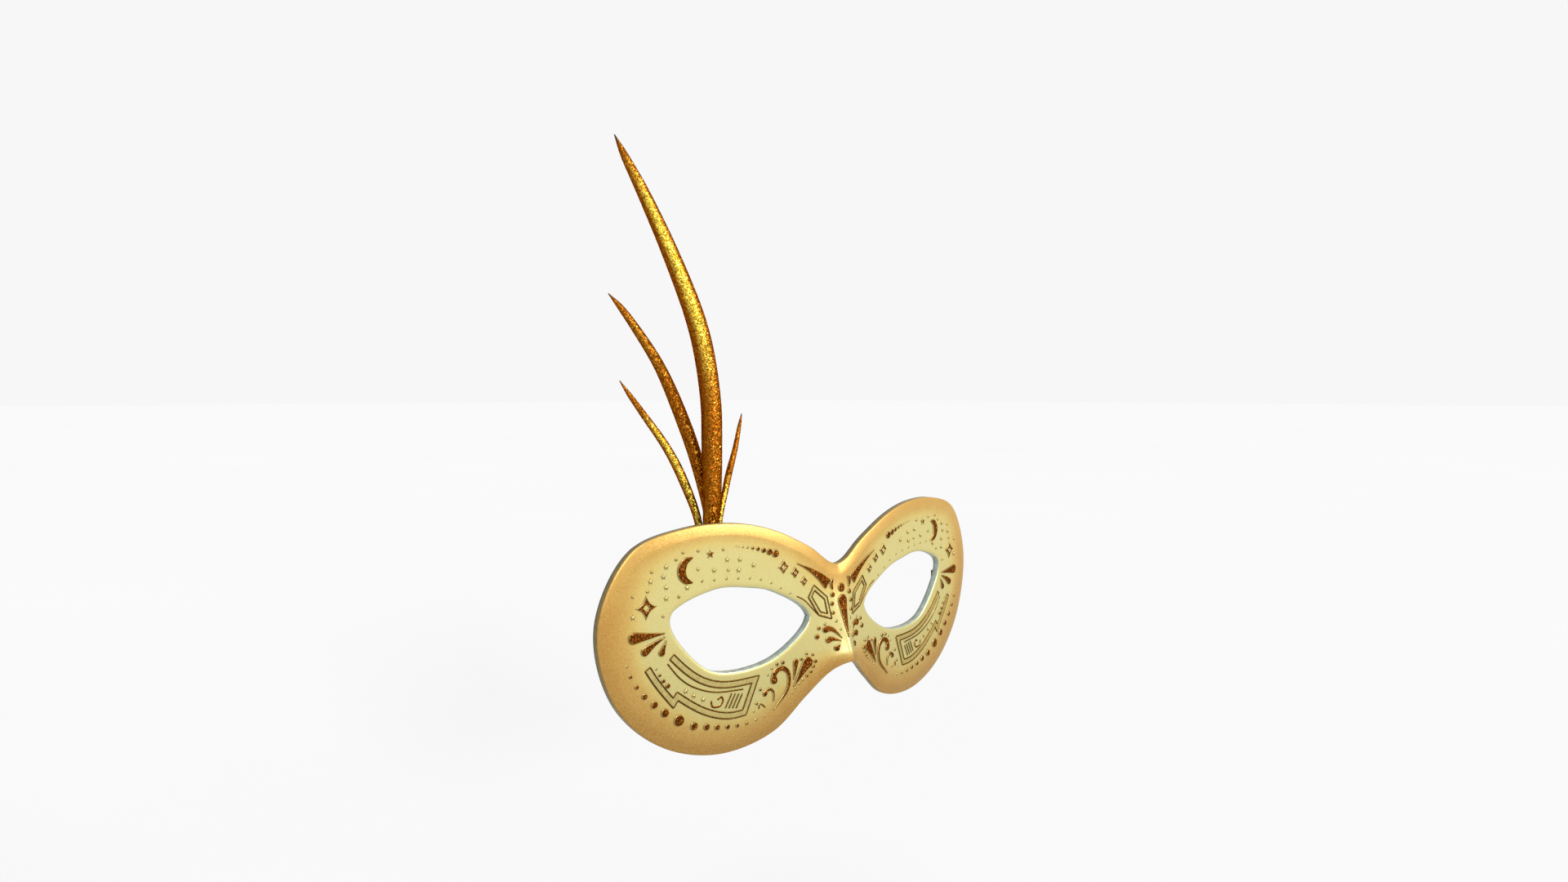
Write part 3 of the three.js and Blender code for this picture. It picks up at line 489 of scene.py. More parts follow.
def evenly(run, spacing, closed):
    """The run with points about a spacing apart."""
    ring = np.concatenate([run, run[:1]]) if closed else np.asarray(run)
    along = np.concatenate([[0], np.cumsum(np.hypot(*np.diff(ring[:, :2], axis=0).T))])
    count = max(int(round(along[-1] / spacing)), 3 if closed else 1)
    at = np.linspace(0, along[-1], count + 1)
    return np.stack([np.interp(at, along, column) for column in ring.T], 1)[:count + (not closed)]


def refine(loop, spacing, corner=SHARP):
    """A closed loop drawn smoothly, with its sharp corners kept."""
    before = loop - np.roll(loop, 1, 0)
    after = np.roll(loop, -1, 0) - loop
    turn = np.abs(np.angle(np.exp(1j * (np.arctan2(*after.T[::-1]) - np.arctan2(*before.T[::-1])))))
    corners = np.flatnonzero(turn > corner)
    if len(corners) == 0:
        return evenly(spline(loop, 8, True), spacing, True)
    loop = np.roll(loop, -corners[0], 0)
    corners = list(corners - corners[0]) + [len(loop)]
    ring = np.concatenate([loop, loop[:1]])
    out = []
    for start, end in zip(corners, corners[1:]):
        out.append(evenly(spline(ring[start:end + 1], 8, False), spacing, False)[:-1])
    return np.concatenate(out)


def edge_ends(loops):
    return np.concatenate(loops), np.concatenate([np.roll(run, -1, 0) for run in loops])


def distance(points, loops):
    """Distance from each point to the nearest of some closed loops."""
    a, b = edge_ends(loops)
    edge = b - a
    size = np.maximum((edge ** 2).sum(1), 1e-12)
    out = np.empty(len(points))
    for i in range(0, len(points), 2000):
        away = points[i:i + 2000, None] - a
        t = np.clip((away * edge).sum(2) / size, 0, 1)
        out[i:i + 2000] = np.sqrt(((away - t[..., None] * edge) ** 2).sum(2).min(1))
    return out


def inside(points, loops):
    """Whether each point is inside the loops, by the even-odd rule."""
    a, b = edge_ends(loops)
    out = np.zeros(len(points), bool)
    for i in range(0, len(points), 2000):
        x, z = points[i:i + 2000, :1], points[i:i + 2000, 1:]
        spans = (a[:, 1] > z) != (b[:, 1] > z)
        rise = np.where(a[:, 1] == b[:, 1], 1, b[:, 1] - a[:, 1])
        cross = a[:, 0] + (z - a[:, 1]) * (b[:, 0] - a[:, 0]) / rise
        out[i:i + 2000] = (spans & (x < cross)).sum(1) % 2 == 1
    return out


def mirrored(points):
    return np.asarray(points, float) * [-1, 1]


# ------------------------------------------------------------------ the mask's front

FRONT_Y = -7.75
SWEEP_SLOPE = 0.104
SWEEP_ROUNDING = 3.2
SWEEP_BEND = 0.0003
FACE_LEAN = -0.0104
RIDGE_SLOPE = 0.154
RIDGE_CURVE = 0.0042
RIDGE_TOP_Z = 8.3
RIDGE_ROUNDING = 1.3
RIDGE_REACH = 6.5
SHELL_THICKNESS = 2.9
RIM_BEVEL_WIDTH = 3.8
RIM_BEVEL_DROP = 0.72
RIM_EDGE_R = 0.35
EYE_ROLL_WIDTH = 1.6
EYE_ROLL_DROP = 0.5
GAP = 0.3
LINING_THICKNESS = 0.8
EYE_CENTRE = np.array([44.0, 0.0])
ON_MIRROR = 1e-4

shell_loops = front_loops("mask_shell")
RIM = refine(shell_loops[0], 0.5)
EYES = [refine(run, 0.5) for run in shell_loops[1:3]]
EYE = next(run for run in EYES if run[:, 0].mean() > 0)


def face_plane(x, z):
    below = RIDGE_TOP_Z - z
    fade = np.exp((RIDGE_ROUNDING - np.hypot(x, RIDGE_ROUNDING)) / RIDGE_REACH)
    ridge = (RIDGE_SLOPE * below + RIDGE_CURVE * below * below) * fade
    sweep = SWEEP_SLOPE * np.hypot(x, SWEEP_ROUNDING) + SWEEP_BEND * x * x
    return FRONT_Y + sweep + FACE_LEAN * z - ridge


def rim_drop(d):
    """The bevelled rim: it starts with a crease, steepens outwards and rounds over at the edge."""
    s = np.clip(1 - d / RIM_BEVEL_WIDTH, 0, 1)
    edge = np.clip(1 - d / RIM_EDGE_R, 0, 1)
    return RIM_BEVEL_DROP * (0.6 * s + 0.4 * s * s) + RIM_EDGE_R * (1 - np.sqrt(1 - edge * edge))


def eye_drop(d):
    s = np.clip(1 - d / EYE_ROLL_WIDTH, 0, 1)
    return EYE_ROLL_DROP * (1 - np.sqrt(np.maximum(1 - s * s, 0)))


def front_y(points):
    flat = face_plane(points[:, 0], points[:, 1])
    return flat + rim_drop(distance(points, [RIM])) + eye_drop(distance(points, EYES))


def ray_grid(outer, eye, rim_steps, shares, eye_steps):
    """Rows that run straight from a half outline to the eye hole, as [row, column, x z]."""
    out = outer - EYE_CENTRE
    length = np.hypot(*out.T)
    direction = out / length[:, None]
    a, b = eye - EYE_CENTRE, np.roll(eye, -1, 0) - EYE_CENTRE
    dx, dz = direction[:, :1], direction[:, 1:]
    det = dx * (a[:, 1] - b[:, 1]) - dz * (a[:, 0] - b[:, 0])
    reach = (a[:, 0] * (a[:, 1] - b[:, 1]) - a[:, 1] * (a[:, 0] - b[:, 0])) / det
    along = (dx * a[:, 1] - dz * a[:, 0]) / det
    hit = np.where((reach > 0) & (along >= -1e-9) & (along <= 1 + 1e-9), reach, np.inf).min(1)
    outer_end, inner_end = length - rim_steps[-1], hit + eye_steps[0]
    columns = [length - step for step in rim_steps]
    columns += [outer_end + (inner_end - outer_end) * share for share in shares]
    columns += [hit + step for step in eye_steps]
    return EYE_CENTRE + np.stack(columns, 1)[..., None] * direction[:, None]


def half_run(loop, spacing, mirror_count):
    """The +X half of a loop from its top notch to its bottom notch, closed along the mirror plane."""
    ring = evenly(loop, spacing, True)
    turns = np.flatnonzero((ring[:, 0] > 0) & (np.roll(ring[:, 0], 1) <= 0))
    ring = np.roll(ring, -turns[0], 0)
    half = ring[ring[:, 0] > 0.15]
    if half[0, 1] < half[-1, 1]:
        half = half[::-1]
    top = [0, half[0, 1] + (half[0, 1] - half[1, 1]) * 0.4]
    bottom = [0, half[-1, 1] + (half[-1, 1] - half[-2, 1]) * 0.4]
    middle = np.linspace(bottom, top, mirror_count + 1)[1:-1]
    return np.concatenate([[top], half, [bottom], middle])


def half_slab(grid, front, back):
    """A closed half slab over a ray grid, left open where it meets its mirror image."""
    rows, columns = grid.shape[:2]
    flat = grid.reshape(-1, 2)
    low, high = front(flat), back(flat)
    points = np.concatenate([np.c_[flat[:, 0], low, flat[:, 1]], np.c_[flat[:, 0], high, flat[:, 1]]])
    shift = rows * columns
    faces = []
    on_mirror = np.abs(grid[:, 0, 0]) < ON_MIRROR
    for i in range(rows):
        n = (i + 1) % rows
        for j in range(columns - 1):
            a, b = i * columns + j, n * columns + j
            faces.append([a, a + 1, b + 1, b])
            faces.append([a + shift, b + shift, b + 1 + shift, a + 1 + shift])
        a, b = i * columns, n * columns
        if not (on_mirror[i] and on_mirror[n]):
            faces.append([a, b, b + shift, a + shift])
        a, b = a + columns - 1, b + columns - 1
        faces.append([a, a + shift, b + shift, b])
    return points, faces


def whole_slab(name, grid, front, back, attributes, **options):
    """The half slab and its mirror image as one closed piece; attributes are worked out per point."""
    points, faces = half_slab(grid, front, back)
    values = attributes(points, len(points) // 2)
    other = points * [-1, 1, 1]
    flipped = [face[::-1] for face in faces]
    points, faces, values = joined([(points, faces, values), (other, flipped, values)])
    piece = make(name, points, faces, attributes=values, **options)
    return tidy(piece, weld=0.001, chosen=lambda v: abs(v.co.x) < ON_MIRROR * MM)


def soft_step(value, start, end):
    t = np.clip((value - start) / (end - start), 0, 1)
    return t * t * (3 - 2 * t)


# How far in from the rim the gold is airbrushed: further at the temples and cheeks, less over the
# brows and least at the foot of the nose.
GILD_REACH = 15
GILD_MORE_AT_TEMPLE = 4
GILD_MORE_AT_CHEEK = 2
GILD_LESS_AT_BROW = 4.5
GILD_REACH_AT_NOSE = 4.2
NOSE_HALF_WIDTH = 11
# Distances in from the rim where the front's rows of points lie, and out from the eye hole.
RIM_STEPS = [0, 0.02, 0.08, 0.18, 0.35, 0.7, 1.2, 1.8, 2.5, 3.2, 3.75, 3.9, 4.6, 5.6, 7]
EYE_STEPS = [2.4, 1.6, 1.25, 0.9, 0.6, 0.35, 0.16, 0.05, 0]
# The walls' painted shade and painted reflection run this far onto the front and the back.
WALL_ON_FRONT = 0.03
WALL_ON_BACK = 0.6
EYE_WALL_ON_FRONT = 0.25
EYE_WALL_ON_BACK = 0.35


def shell_attributes(points, half):
    """How gilded each point is, and whether it is on the outer edge, an eye wall or the back."""
    flat = points[:, [0, 2]]
    rim, eye = distance(flat, [RIM]), distance(flat, EYES)
    x, z = flat.T
    reach = GILD_REACH + GILD_MORE_AT_TEMPLE * soft_step(np.abs(x), 55, 90)
    reach += GILD_MORE_AT_CHEEK * soft_step(-z, 12, 36) - GILD_LESS_AT_BROW * soft_step(z, 8, 30)
    nose = np.exp(-(x / NOSE_HALF_WIDTH) ** 2) * soft_step(-z, -4, 6)
    reach = reach * (1 - nose) + GILD_REACH_AT_NOSE * nose
    gild = (1 - soft_step(rim, 1, reach)) * (1 - 0.25 * soft_step(z, 5, 25))
    behind = np.arange(len(points)) >= half
    return {
        "gild": gild,
        "edge_wall": np.where(behind, rim < WALL_ON_BACK, rim < WALL_ON_FRONT),
        "eye_wall": np.where(behind, eye < EYE_WALL_ON_BACK, eye < EYE_WALL_ON_FRONT),
        "back": behind & (rim > WALL_ON_BACK) & (eye > EYE_WALL_ON_BACK),
    }


def add_shell():
    shares = np.linspace(0, 1, 22)[1:-1]
    grid = ray_grid(half_run(RIM, 0.7, 56), EYE, RIM_STEPS, shares, EYE_STEPS)
    whole_slab(
        "shell", grid, front_y, lambda p: face_plane(*p.T) + SHELL_THICKNESS, shell_attributes,
        material=PEARL, slot="pearl_gold", replaces=["mask_shell"],
    )


add_shell()

# ------------------------------------------------------------------ ornaments

BEVEL = 0.24
SINK = 0.12          # pieces reach this far into the shell
STAND = 0.02         # and their lowest edge is this far above it
HALO = 0.2           # the painted bevel stands this far outside an ornament's glitter
LATTICE = 0.4        # how far apart the points of a top are


def painted_crease_shade(d, width):
    """Painted shade: dark paint in the foot of each bevel, where shade falls."""
    return 0.5 * (1 - soft_step(d, 0.1 * BEVEL, width))


def emboss(loops, height, glitter=1.0, spacing=0.2, halo=HALO, corner=SHARP):
    """A raised closed piece on the front: bevelled sides round a top that carries the glitter."""
    rings = [refine(run, spacing, corner) for run in loops]
    if halo:
        rings = [grow(ring, halo) for ring in rings]
    edges, count = [], 0
    for ring in rings:
        n = len(ring)
        edges += [(count + i, count + (i + 1) % n) for i in range(n)]
        count += n
    points = [np.concatenate(rings)]
    for d in (0.33 * BEVEL, 0.66 * BEVEL, BEVEL):
        for ring in rings:
            for side in (d, -d):
                moved = ring + sideways(ring) * side
                keep = (distance(moved, rings) >= 0.98 * d) & inside(moved, rings)
                points.append(moved[keep])
    low, high = points[0].min(0), points[0].max(0)
    xs, zs = np.arange(low[0], high[0], LATTICE), np.arange(low[1], high[1], 0.87 * LATTICE)
    lattice = np.array([[x + (j % 2) * LATTICE / 2, z] for j, z in enumerate(zs) for x in xs])
    lattice = lattice[inside(lattice, rings)]
    if len(lattice):
        points.append(lattice[distance(lattice, rings) > BEVEL + 0.5 * LATTICE])
    flat = np.concatenate(points)
    out = delaunay_2d_cdt([Vector(p) for p in flat], edges, [], 0, 1e-5)
    flat = np.array([tuple(v) for v in out[0]])
    middles = np.array([flat[list(f)].mean(0) for f in out[2]])
    faces = [list(f) for f, keep in zip(out[2], inside(middles, rings)) if keep]
    used = sorted({i for f in faces for i in f})
    renumber = {old: new for new, old in enumerate(used)}
    flat = flat[used]
    faces = [[renumber[i] for i in f] for f in faces]
    d = distance(flat, rings)
    share = np.clip(d / BEVEL, 0, 1)
    rise = height * np.sin(share * math.pi / 2) ** 0.8
    base = front_y(flat)
    n = len(flat)
    top = np.c_[flat[:, 0], base - STAND - rise, flat[:, 1]]
    bottom = np.c_[flat[:, 0], base + SINK, flat[:, 1]]
    sides = {(a, b) for f in faces for a, b in zip(f, f[1:] + f[:1])}
    borders = sorted((a, b) for a, b in sides if (b, a) not in sides)
    solid = [f[::-1] for f in faces] + [[i + n for i in f] for f in faces]
    solid += [[a, b, b + n, a + n] for a, b in borders]
    shine = glitter * soft_step(d, 0.5 * BEVEL, 0.95 * BEVEL)
    # Painted shade in the foot of the bevel, wider round the pieces without glitter.
    wash = painted_crease_shade(d, 0.95 * BEVEL if glitter else 1.2 * BEVEL)
    values = {"edge": np.r_[shine, np.zeros(n)], "wash": np.r_[wash, np.zeros(n)]}
    return np.concatenate([top, bottom]), solid, values


def ridge(run, half_width, height, closed=False, brown=1.0, spacing=0.35):
    """A fine raised line along a run of points."""
    line = evenly(np.asarray(run, float), spacing, closed)
    n = len(line)
    normal = sideways(line, closed)
    profile = [(-1, -SINK, 0), (-1, 0.03, 0), (-0.6, 0.8 * height, 1), (0, height, 1),
               (0.6, 0.8 * height, 1), (1, 0.03, 0), (1, -SINK, 0)]
    points, shine = [], []
    for across, rise, top in profile:
        flat = line + normal * across * half_width
        points.append(np.c_[flat[:, 0], front_y(flat) - rise, flat[:, 1]])
        shine.append(np.full(n, brown * top))
    count = len(profile)
    faces = []
    for i in range(n if closed else n - 1):
        for k in range(count):
            a, b = k * n + i, ((k + 1) % count) * n + i
            c, d = ((k + 1) % count) * n + (i + 1) % n, k * n + (i + 1) % n
            faces.append([a, b, c, d])
    if not closed:
        faces.append([k * n for k in range(count)][::-1])
        faces.append([k * n + n - 1 for k in range(count)])
    shine = np.concatenate(shine)
    return np.concatenate(points), faces, {"edge": shine, "wash": np.zeros(len(shine))}


def add_relief(name, parts, material=COPPER, slot="glitter_copper", replaces=()):
    points, faces, values = joined(parts)
    return tidy(make(name, points, faces, material, slot, attributes=values, replaces=replaces))


SLOTS = {part["node"]: part["material_slot"] for part in frame["record"]["subparts"]}
RELIEF_HEIGHT = 0.42
PLATEAU_HEIGHT = 0.1
LINE_HALF_WIDTH = 0.31
LINE_HEIGHT = 0.32
BAND_SHARP = math.radians(28)


def grow(ring, amount):
    """The ring moved outwards all round, without the folds that this makes in its hollows."""
    moved = ring - amount * sideways(ring)
    return moved[distance(moved, [ring]) >= 0.96 * amount]


def add_ornaments():
    """Each raised CAD ornament, drawn smoothly and bevelled."""
    for node, slot in SLOTS.items():
        if slot == "glitter_copper":
            add_relief(f"relief_{node}", [emboss(front_loops(node), RELIEF_HEIGHT)], replaces=[node])
        elif slot == "peach_gold":
            loops = front_loops(node)
            parts = [emboss(loops, PLATEAU_HEIGHT, 0.0, halo=0, corner=BAND_SHARP)]
            borders = [refine(run, 0.3, BAND_SHARP) for run in loops]
            parts += [ridge(run, LINE_HALF_WIDTH, LINE_HEIGHT, closed=True) for run in borders]
            add_relief(f"relief_{node}", parts, PEACH, slot, [node])


add_ornaments()

# Small ornaments on the wearer's left half, as [x, z]; each is repeated, mirrored, on the right.


def circle(centre, radius, count=14):
    return arc(centre, radius, 0, 360 * (1 - 1 / count), count)


def arc(centre, radius, start, end, count):
    """Points along an arc between two angles in degrees."""
    turn = np.radians(np.linspace(start, end, count))
    return np.array(centre) + radius * np.stack([np.cos(turn), np.sin(turn)], 1)


def five_star(centre, radius):
    turn = math.pi / 2 + np.arange(10) * math.pi / 5
    reach = np.where(np.arange(10) % 2 == 0, radius, 0.45 * radius)[:, None]
    return np.array(centre) + reach * np.stack([np.cos(turn), np.sin(turn)], 1)


def graded(run, count, first, last, bend=1.0, spread=1.0):
    """Dots along a smooth run, as (place, radius), that grow or shrink from the first to the last.

    A bend above 1 keeps them near the first radius for longer; a spread above 1 sets them wider
    and wider apart.
    """
    line = evenly(spline(run, 12, False), 0.1, False)
    share = np.linspace(0, 1, count)
    places = line[((len(line) - 1) * share ** spread).astype(int)]
    return list(zip(places, first + (last - first) * share ** bend))


# Over the upper field the dots and stars are strewn, so each has a place of its own.
STREWN_DOTS = [
    (66, 27.5), (68.5, 25.5), (60.5, 27.5), (51, 27), (77, 22.5), (60.5, 21.5), (49, 20),
    (78.5, 16.5), (83.5, 15.5), (67.5, 13.5), (73, 8),
]
STREWN_STARS = [
    (72, 23.5), (73, 20.5), (77.5, 19.5), (72, 17), (64.5, 16), (72, 13.5), (83.5, 9),
    (54.5, 20.5), (49.5, 23.5), (44.5, 23), (45, 19.5), (39, 20.5),
]
LID_ROW = graded([(59, 17.5), (47.5, 17), (35, 15), (23.5, 9)], 9, 0.45, 0.36)
BROW_ROW = graded([(46, 27.5), (38, 26), (30, 23.5)], 9, 0.25, 1.3, 2, 1.3)
RIM_ROW = (
    graded([(86, -3.5), (84.5, -9), (80, -16), (72.5, -23)], 7, 0.25, 1.35, 1.2, 1.25)
    + graded([(62, -29.5), (52, -32), (42, -33), (34, -32)], 8, 1.3, 0.3, 0.8, 0.9)
)
CURL_DOTS = graded(arc((27.5, -20.5), 5.8, 25, 99, 4), 4, 0.35, 0.65)
DROP_DOTS = graded(arc((16, -16.5), 3.2, 130, 30, 3), 3, 0.5, 0.5)
TAIL_DOTS = graded([(13, -16.5), (15, -20), (18.5, -22.5), (24, -27.5)], 9, 0.65, 0.28)
CURL_FOOT_DOTS = [((36, -22.5), 0.5), ((37.5, -27), 0.5), ((38.5, -29.5), 0.35)]
NOSE_DOTS = (
    graded([(4.5, 6), (5, 2), (4.5, -1.5), (2.5, -6.5)], 5, 0.9, 0.35)
    + graded([(8.5, -4), (11, -5), (12, -8)], 3, 0.45, 0.9)
)
BAND_ROW = graded([(75.5, -8.5), (73.5, -12), (71.5, -14.5)], 4, 0.35, 0.8)
BAND_STARS = [(65, -17.5), (62, -19.5), (58.5, -21.5)]
BAND_SPECKS = (
    graded([(69, -6.5), (59, -15), (46.5, -18.5), (39, -18.5)], 15, 0.27, 0.27)
    + graded([(43.5, -29), (53.5, -27.5), (67, -19.5)], 11, 0.27, 0.27)
)
INNER_LINE = [(71.5, -7.5), (67, -13), (61.5, -17), (53.5, -20), (43, -21)]
STRIPE_COUNT = 4
STRIPE = [(47.5, -21.5), (50, -26)]
STRIPE_STEP = (-1.4, -0.3)
COMMA_LINE = [(55.5, -22.5), (55, -24.5), (52.5, -25), (51, -23.5), (51.5, -22), (53, -22.5)]
EYE_LINE = [(20.5, 7.5), (17, 5.5), (13.5, 2), (11.5, 0)]
MINI_CURL = [(36.5, -29), (36.5, -28), (36, -27.5), (35, -28), (34, -29)]
GLITTER_RADIUS = 0.3          # dots smaller than this are plain raised paint
SPECK_GLITTER = 0.65          # the strewn dots and stars carry a thinner coat of glitter


def dome(at, radius, put, glitter=None):
    glitter = float(radius > GLITTER_RADIUS) if glitter is None else glitter
    return emboss([circle(put(at), radius)], 0.28 + 0.15 * min(radius, 1), glitter, halo=0.12 * glitter)


def star(at, radius, put, glitter=0.0):
    return emboss([five_star(put(at), radius)], 0.42, glitter, 0.25, halo=0)


def line(run, put, half_width=LINE_HALF_WIDTH):
    return ridge(put(spline(run, 10, False)), half_width, LINE_HEIGHT)


def field_parts(put):
    parts = [dome(at, 0.5, put, SPECK_GLITTER) for at in STREWN_DOTS]
    parts += [dome(at, radius, put, SPECK_GLITTER) for at, radius in LID_ROW]
    parts += [star(at, 1.05, put, SPECK_GLITTER) for at in STREWN_STARS]
    return parts + [star((56, 26), 1.65, put, 1.0)]


def scroll_parts(put):
    dots = CURL_DOTS + DROP_DOTS + TAIL_DOTS + CURL_FOOT_DOTS
    return [dome(at, radius, put) for at, radius in dots] + [line(MINI_CURL, put, 0.28)]


def band_parts(put):
    parts = [dome(at, radius, put, 1.0) for at, radius in BAND_ROW]
    return parts + [star(at, 1.05, put, 0.8) for at in BAND_STARS] + [line(COMMA_LINE, put, 0.4)]


def band_lines(put):
    shift = np.array(STRIPE_STEP)
    runs = [INNER_LINE] + [np.array(STRIPE) + i * shift for i in range(STRIPE_COUNT)]
    specks = [dome(at, radius, put, 1.0) for at, radius in BAND_SPECKS]
    return [line(run, put, 0.28) for run in runs] + specks


def small_ornaments(put):
    """The copper groups of fine ornaments of one half, by name, each as a list of mesh parts."""
    return {
        "field": field_parts(put),
        "brow_row": [dome(at, radius, put) for at, radius in BROW_ROW],
        "rim_row": [dome(at, radius, put) for at, radius in RIM_ROW],
        "scroll_dots": scroll_parts(put),
        "nose_dots": [dome(at, radius, put, 1.0) for at, radius in NOSE_DOTS],
        "band_detail": band_parts(put),
        "eye_line": [line(EYE_LINE, put, 0.24)],
    }


def add_small_ornaments():
    for side_name, put in (("right", mirrored), ("left", np.array)):
        for name, parts in small_ornaments(put).items():
            add_relief(f"{name}_{side_name}", parts)
        add_relief(f"band_lines_{side_name}", band_lines(put), PEACH, "peach_gold")


add_small_ornaments()

# ------------------------------------------------------------------ plumes


def tube(path, radii, sides, closed=False, grain=0.0, up=(1, 0, 0)):
    """A round tube along a path, in rows of points; grain roughens its surface."""
    path = np.asarray(path, float)
    if closed:
        ahead = np.roll(path, -1, 0) - np.roll(path, 1, 0)
    else:
        ahead = np.gradient(path, axis=0)
    ahead /= np.linalg.norm(ahead, axis=1)[:, None]
    across = np.array(up, float) - ahead * (ahead @ np.array(up, float))[:, None]
    across /= np.linalg.norm(across, axis=1)[:, None]
    other = np.cross(ahead, across)
    turn = np.arange(sides) * 2 * math.pi / sides
    reach = np.asarray(radii)[:, None] * np.ones(sides)
    reach = reach + grain * np.minimum(reach, 1) * RNG.uniform(-1, 1, reach.shape)
    ring = across[:, None] * np.cos(turn)[None, :, None] + other[:, None] * np.sin(turn)[None, :, None]
    points = (path[:, None] + ring * reach[..., None]).reshape(-1, 3)
    faces = ring_faces(len(path), sides, closed)
    return points, faces if closed else faces + end_faces(len(path), sides)


def horn_rings(node):
    """The middles and radii of a CAD plume's rings of points, from its root to its tip."""
    bm = welded(node)
    bm.verts.ensure_lookup_table()
    highest = max(bm.verts, key=lambda v: v.co.z)
    ring = {v for v in bm.verts if (v.co - highest.co).length < 0.5 * MM}
    seen, rings = set(), []
    while ring:
        rings.append(np.array([v.co for v in ring]) / MM)
        seen |= ring
        ring = {e.other_vert(v) for v in ring for e in v.link_edges} - seen
    bm.free()
    middles = [r.mean(0) for r in rings]
    radii = [np.linalg.norm(r - m, axis=1).mean() for r, m in zip(rings, middles)]
    return np.array(middles)[::-1], np.array(radii)[::-1]


# A painted highlight, a stripe of bright gold paint, runs down the front of each plume, turned a little
# towards the wearer's right: the shares of the plume's length where it starts, is full and ends.
PAINTED_HIGHLIGHT_TURN = math.radians(30)
PAINTED_HIGHLIGHT_FACING = np.array([-math.sin(PAINTED_HIGHLIGHT_TURN), -math.cos(PAINTED_HIGHLIGHT_TURN), 0])
PLUME_PAINTED_HIGHLIGHT = {
    "plume_tall": (0.34, 0.6, 0.98),
    "plume_middle": (0.6, 1.4, 0.95),
    "plume_short": (-0.2, 0.1, 0.85),
    "plume_inner": (-0.4, 0.0, 0.6),
}
PLUME_ROW = 0.38              # how far apart the rows of points along a plume are
PLUME_FACET = 0.4             # and how wide its facets are where it is thickest
PLUME_GRAIN = 0.035
WITHIN_CAD = 0.985            # keeps the grain inside the CAD model's surface


def add_plumes():
    for node, (start, full, end) in PLUME_PAINTED_HIGHLIGHT.items():
        middles, radii = horn_rings(node)
        smooth = spline(np.c_[middles, radii], 12, False)
        steps = np.linalg.norm(np.diff(smooth[:, :3], axis=0), axis=1)
        along = np.r_[0, np.cumsum(steps)]
        at = np.linspace(0, along[-1], int(along[-1] / PLUME_ROW))
        smooth = np.stack([np.interp(at, along, column) for column in smooth.T], 1)
        sides = max(int(2 * math.pi * radii.max() / PLUME_FACET), 16)
        points, faces = tube(smooth[:, :3], smooth[:, 3] * WITHIN_CAD, sides, grain=PLUME_GRAIN)
        share = np.repeat(at / along[-1], sides)
        outward = points - np.repeat(smooth[:, :3], sides, axis=0)
        outward /= np.linalg.norm(outward, axis=1)[:, None]
        # Painted highlight: the stripe lies where the plume's surface faces the highlight's way.
        painted_highlight = soft_step(outward @ PAINTED_HIGHLIGHT_FACING, 0.72, 1.0)
        gold = painted_highlight * soft_step(share, start, full) * (1 - soft_step(share, end - 0.2, end))
        tip = soft_step(share, 0.965, 1.0)
        tidy(make(f"{node}_glitter", points, faces, PLUME, "plume_gold",
                  attributes={"gold": gold, "tip": tip}, replaces=[node]))


add_plumes()

# ------------------------------------------------------------------ the back

PAD_HALF_WIDTH = 8
PAD_HALF_HEIGHT = 6
TAB_X = 81
TAB_Z = -2
TAB_LENGTH = 8.6
TAB_THICKNESS = 0.9
LOOP_OUTER_R = 1.9
RING_WIRE_R = 0.8
RING_REACH = 7.4
RING_HEIGHT = 12
RING_CORNER_R = 1.6
SCREW_HEAD_R = 1.4
SCREW_SHANK_R = 0.66
SCREW_CROWN_HEIGHT = 0.44
SCREW_EDGE_HEIGHT = 0.3
SLOT_HALF_WIDTH = 0.17
SLOT_BOTTOM = 0.22
SCREW_HEAD_HEIGHT = 0.8
SIDES = {"right": -1, "left": 1}


def back_y(x, z):
    return face_plane(x, z) + SHELL_THICKNESS


def lining_back_y(x, z):
    return back_y(x, z) + GAP + LINING_THICKNESS


def lining_directions(x, z):
    """The unit steps along the lining towards +X and backwards out of it."""
    rise = lining_back_y(x + 0.5, z) - lining_back_y(x - 0.5, z)
    along = np.array([1, rise, 0]) / math.hypot(1, rise)
    return along, np.array([-along[1], along[0], 0])


def polygon_area(run):
    x, z = run.T
    return abs((x * np.roll(z, -1) - z * np.roll(x, -1)).sum()) / 2


PILE_GRAIN = 0.035
FLAT_ALLOWANCE = 1.012        # laid flat, the felt is this much bigger than it looks from the front


def add_lining():
    """Glued felt, thinner and rounded at its cut edges, with a slightly uneven pile."""
    loops = front_loops("felt_lining")[:3]
    outer = refine(loops[0], 0.6)
    eyes = [refine(run, 0.6) for run in loops[1:]]
    eye = next(run for run in eyes if run[:, 0].mean() > 0)
    steps = [0, 0.08, 0.2, 0.4, 0.8]
    shares = np.linspace(0, 1, 34)[1:-1]
    grid = ray_grid(half_run(outer, 0.8, 40), eye, steps, shares, [0.8, 0.4, 0.2, 0.08, 0])

    def pile(p):
        d = np.minimum(distance(p, [outer]), distance(p, eyes))
        edge = np.clip(1 - d / 0.45, 0, 1)
        waves = np.sin(p[:, 0] * 1.9 + np.sin(p[:, 1] * 1.3)) * np.sin(p[:, 1] * 2.3)
        level = LINING_THICKNESS + 0.2 - 0.4 * (1 - np.sqrt(1 - edge * edge))
        return back_y(*p.T) + level + 0.03 * waves + RNG.uniform(-PILE_GRAIN, PILE_GRAIN, len(p))

    lining = whole_slab(
        "lining", grid, lambda p: back_y(*p.T) + 0.04, pile, lambda points, half: {},
        material=FELT, slot="black_felt", replaces=["felt_lining"],
    )
    area = polygon_area(outer) - sum(polygon_area(run) for run in eyes)
    area *= FLAT_ALLOWANCE * MM ** 2


PAD_ROUNDING = 0.55
PAD_ROUNDED_FROM = 0.86       # the share of the way out to the rim where the rounding starts
FOAM_GRAIN = 0.02


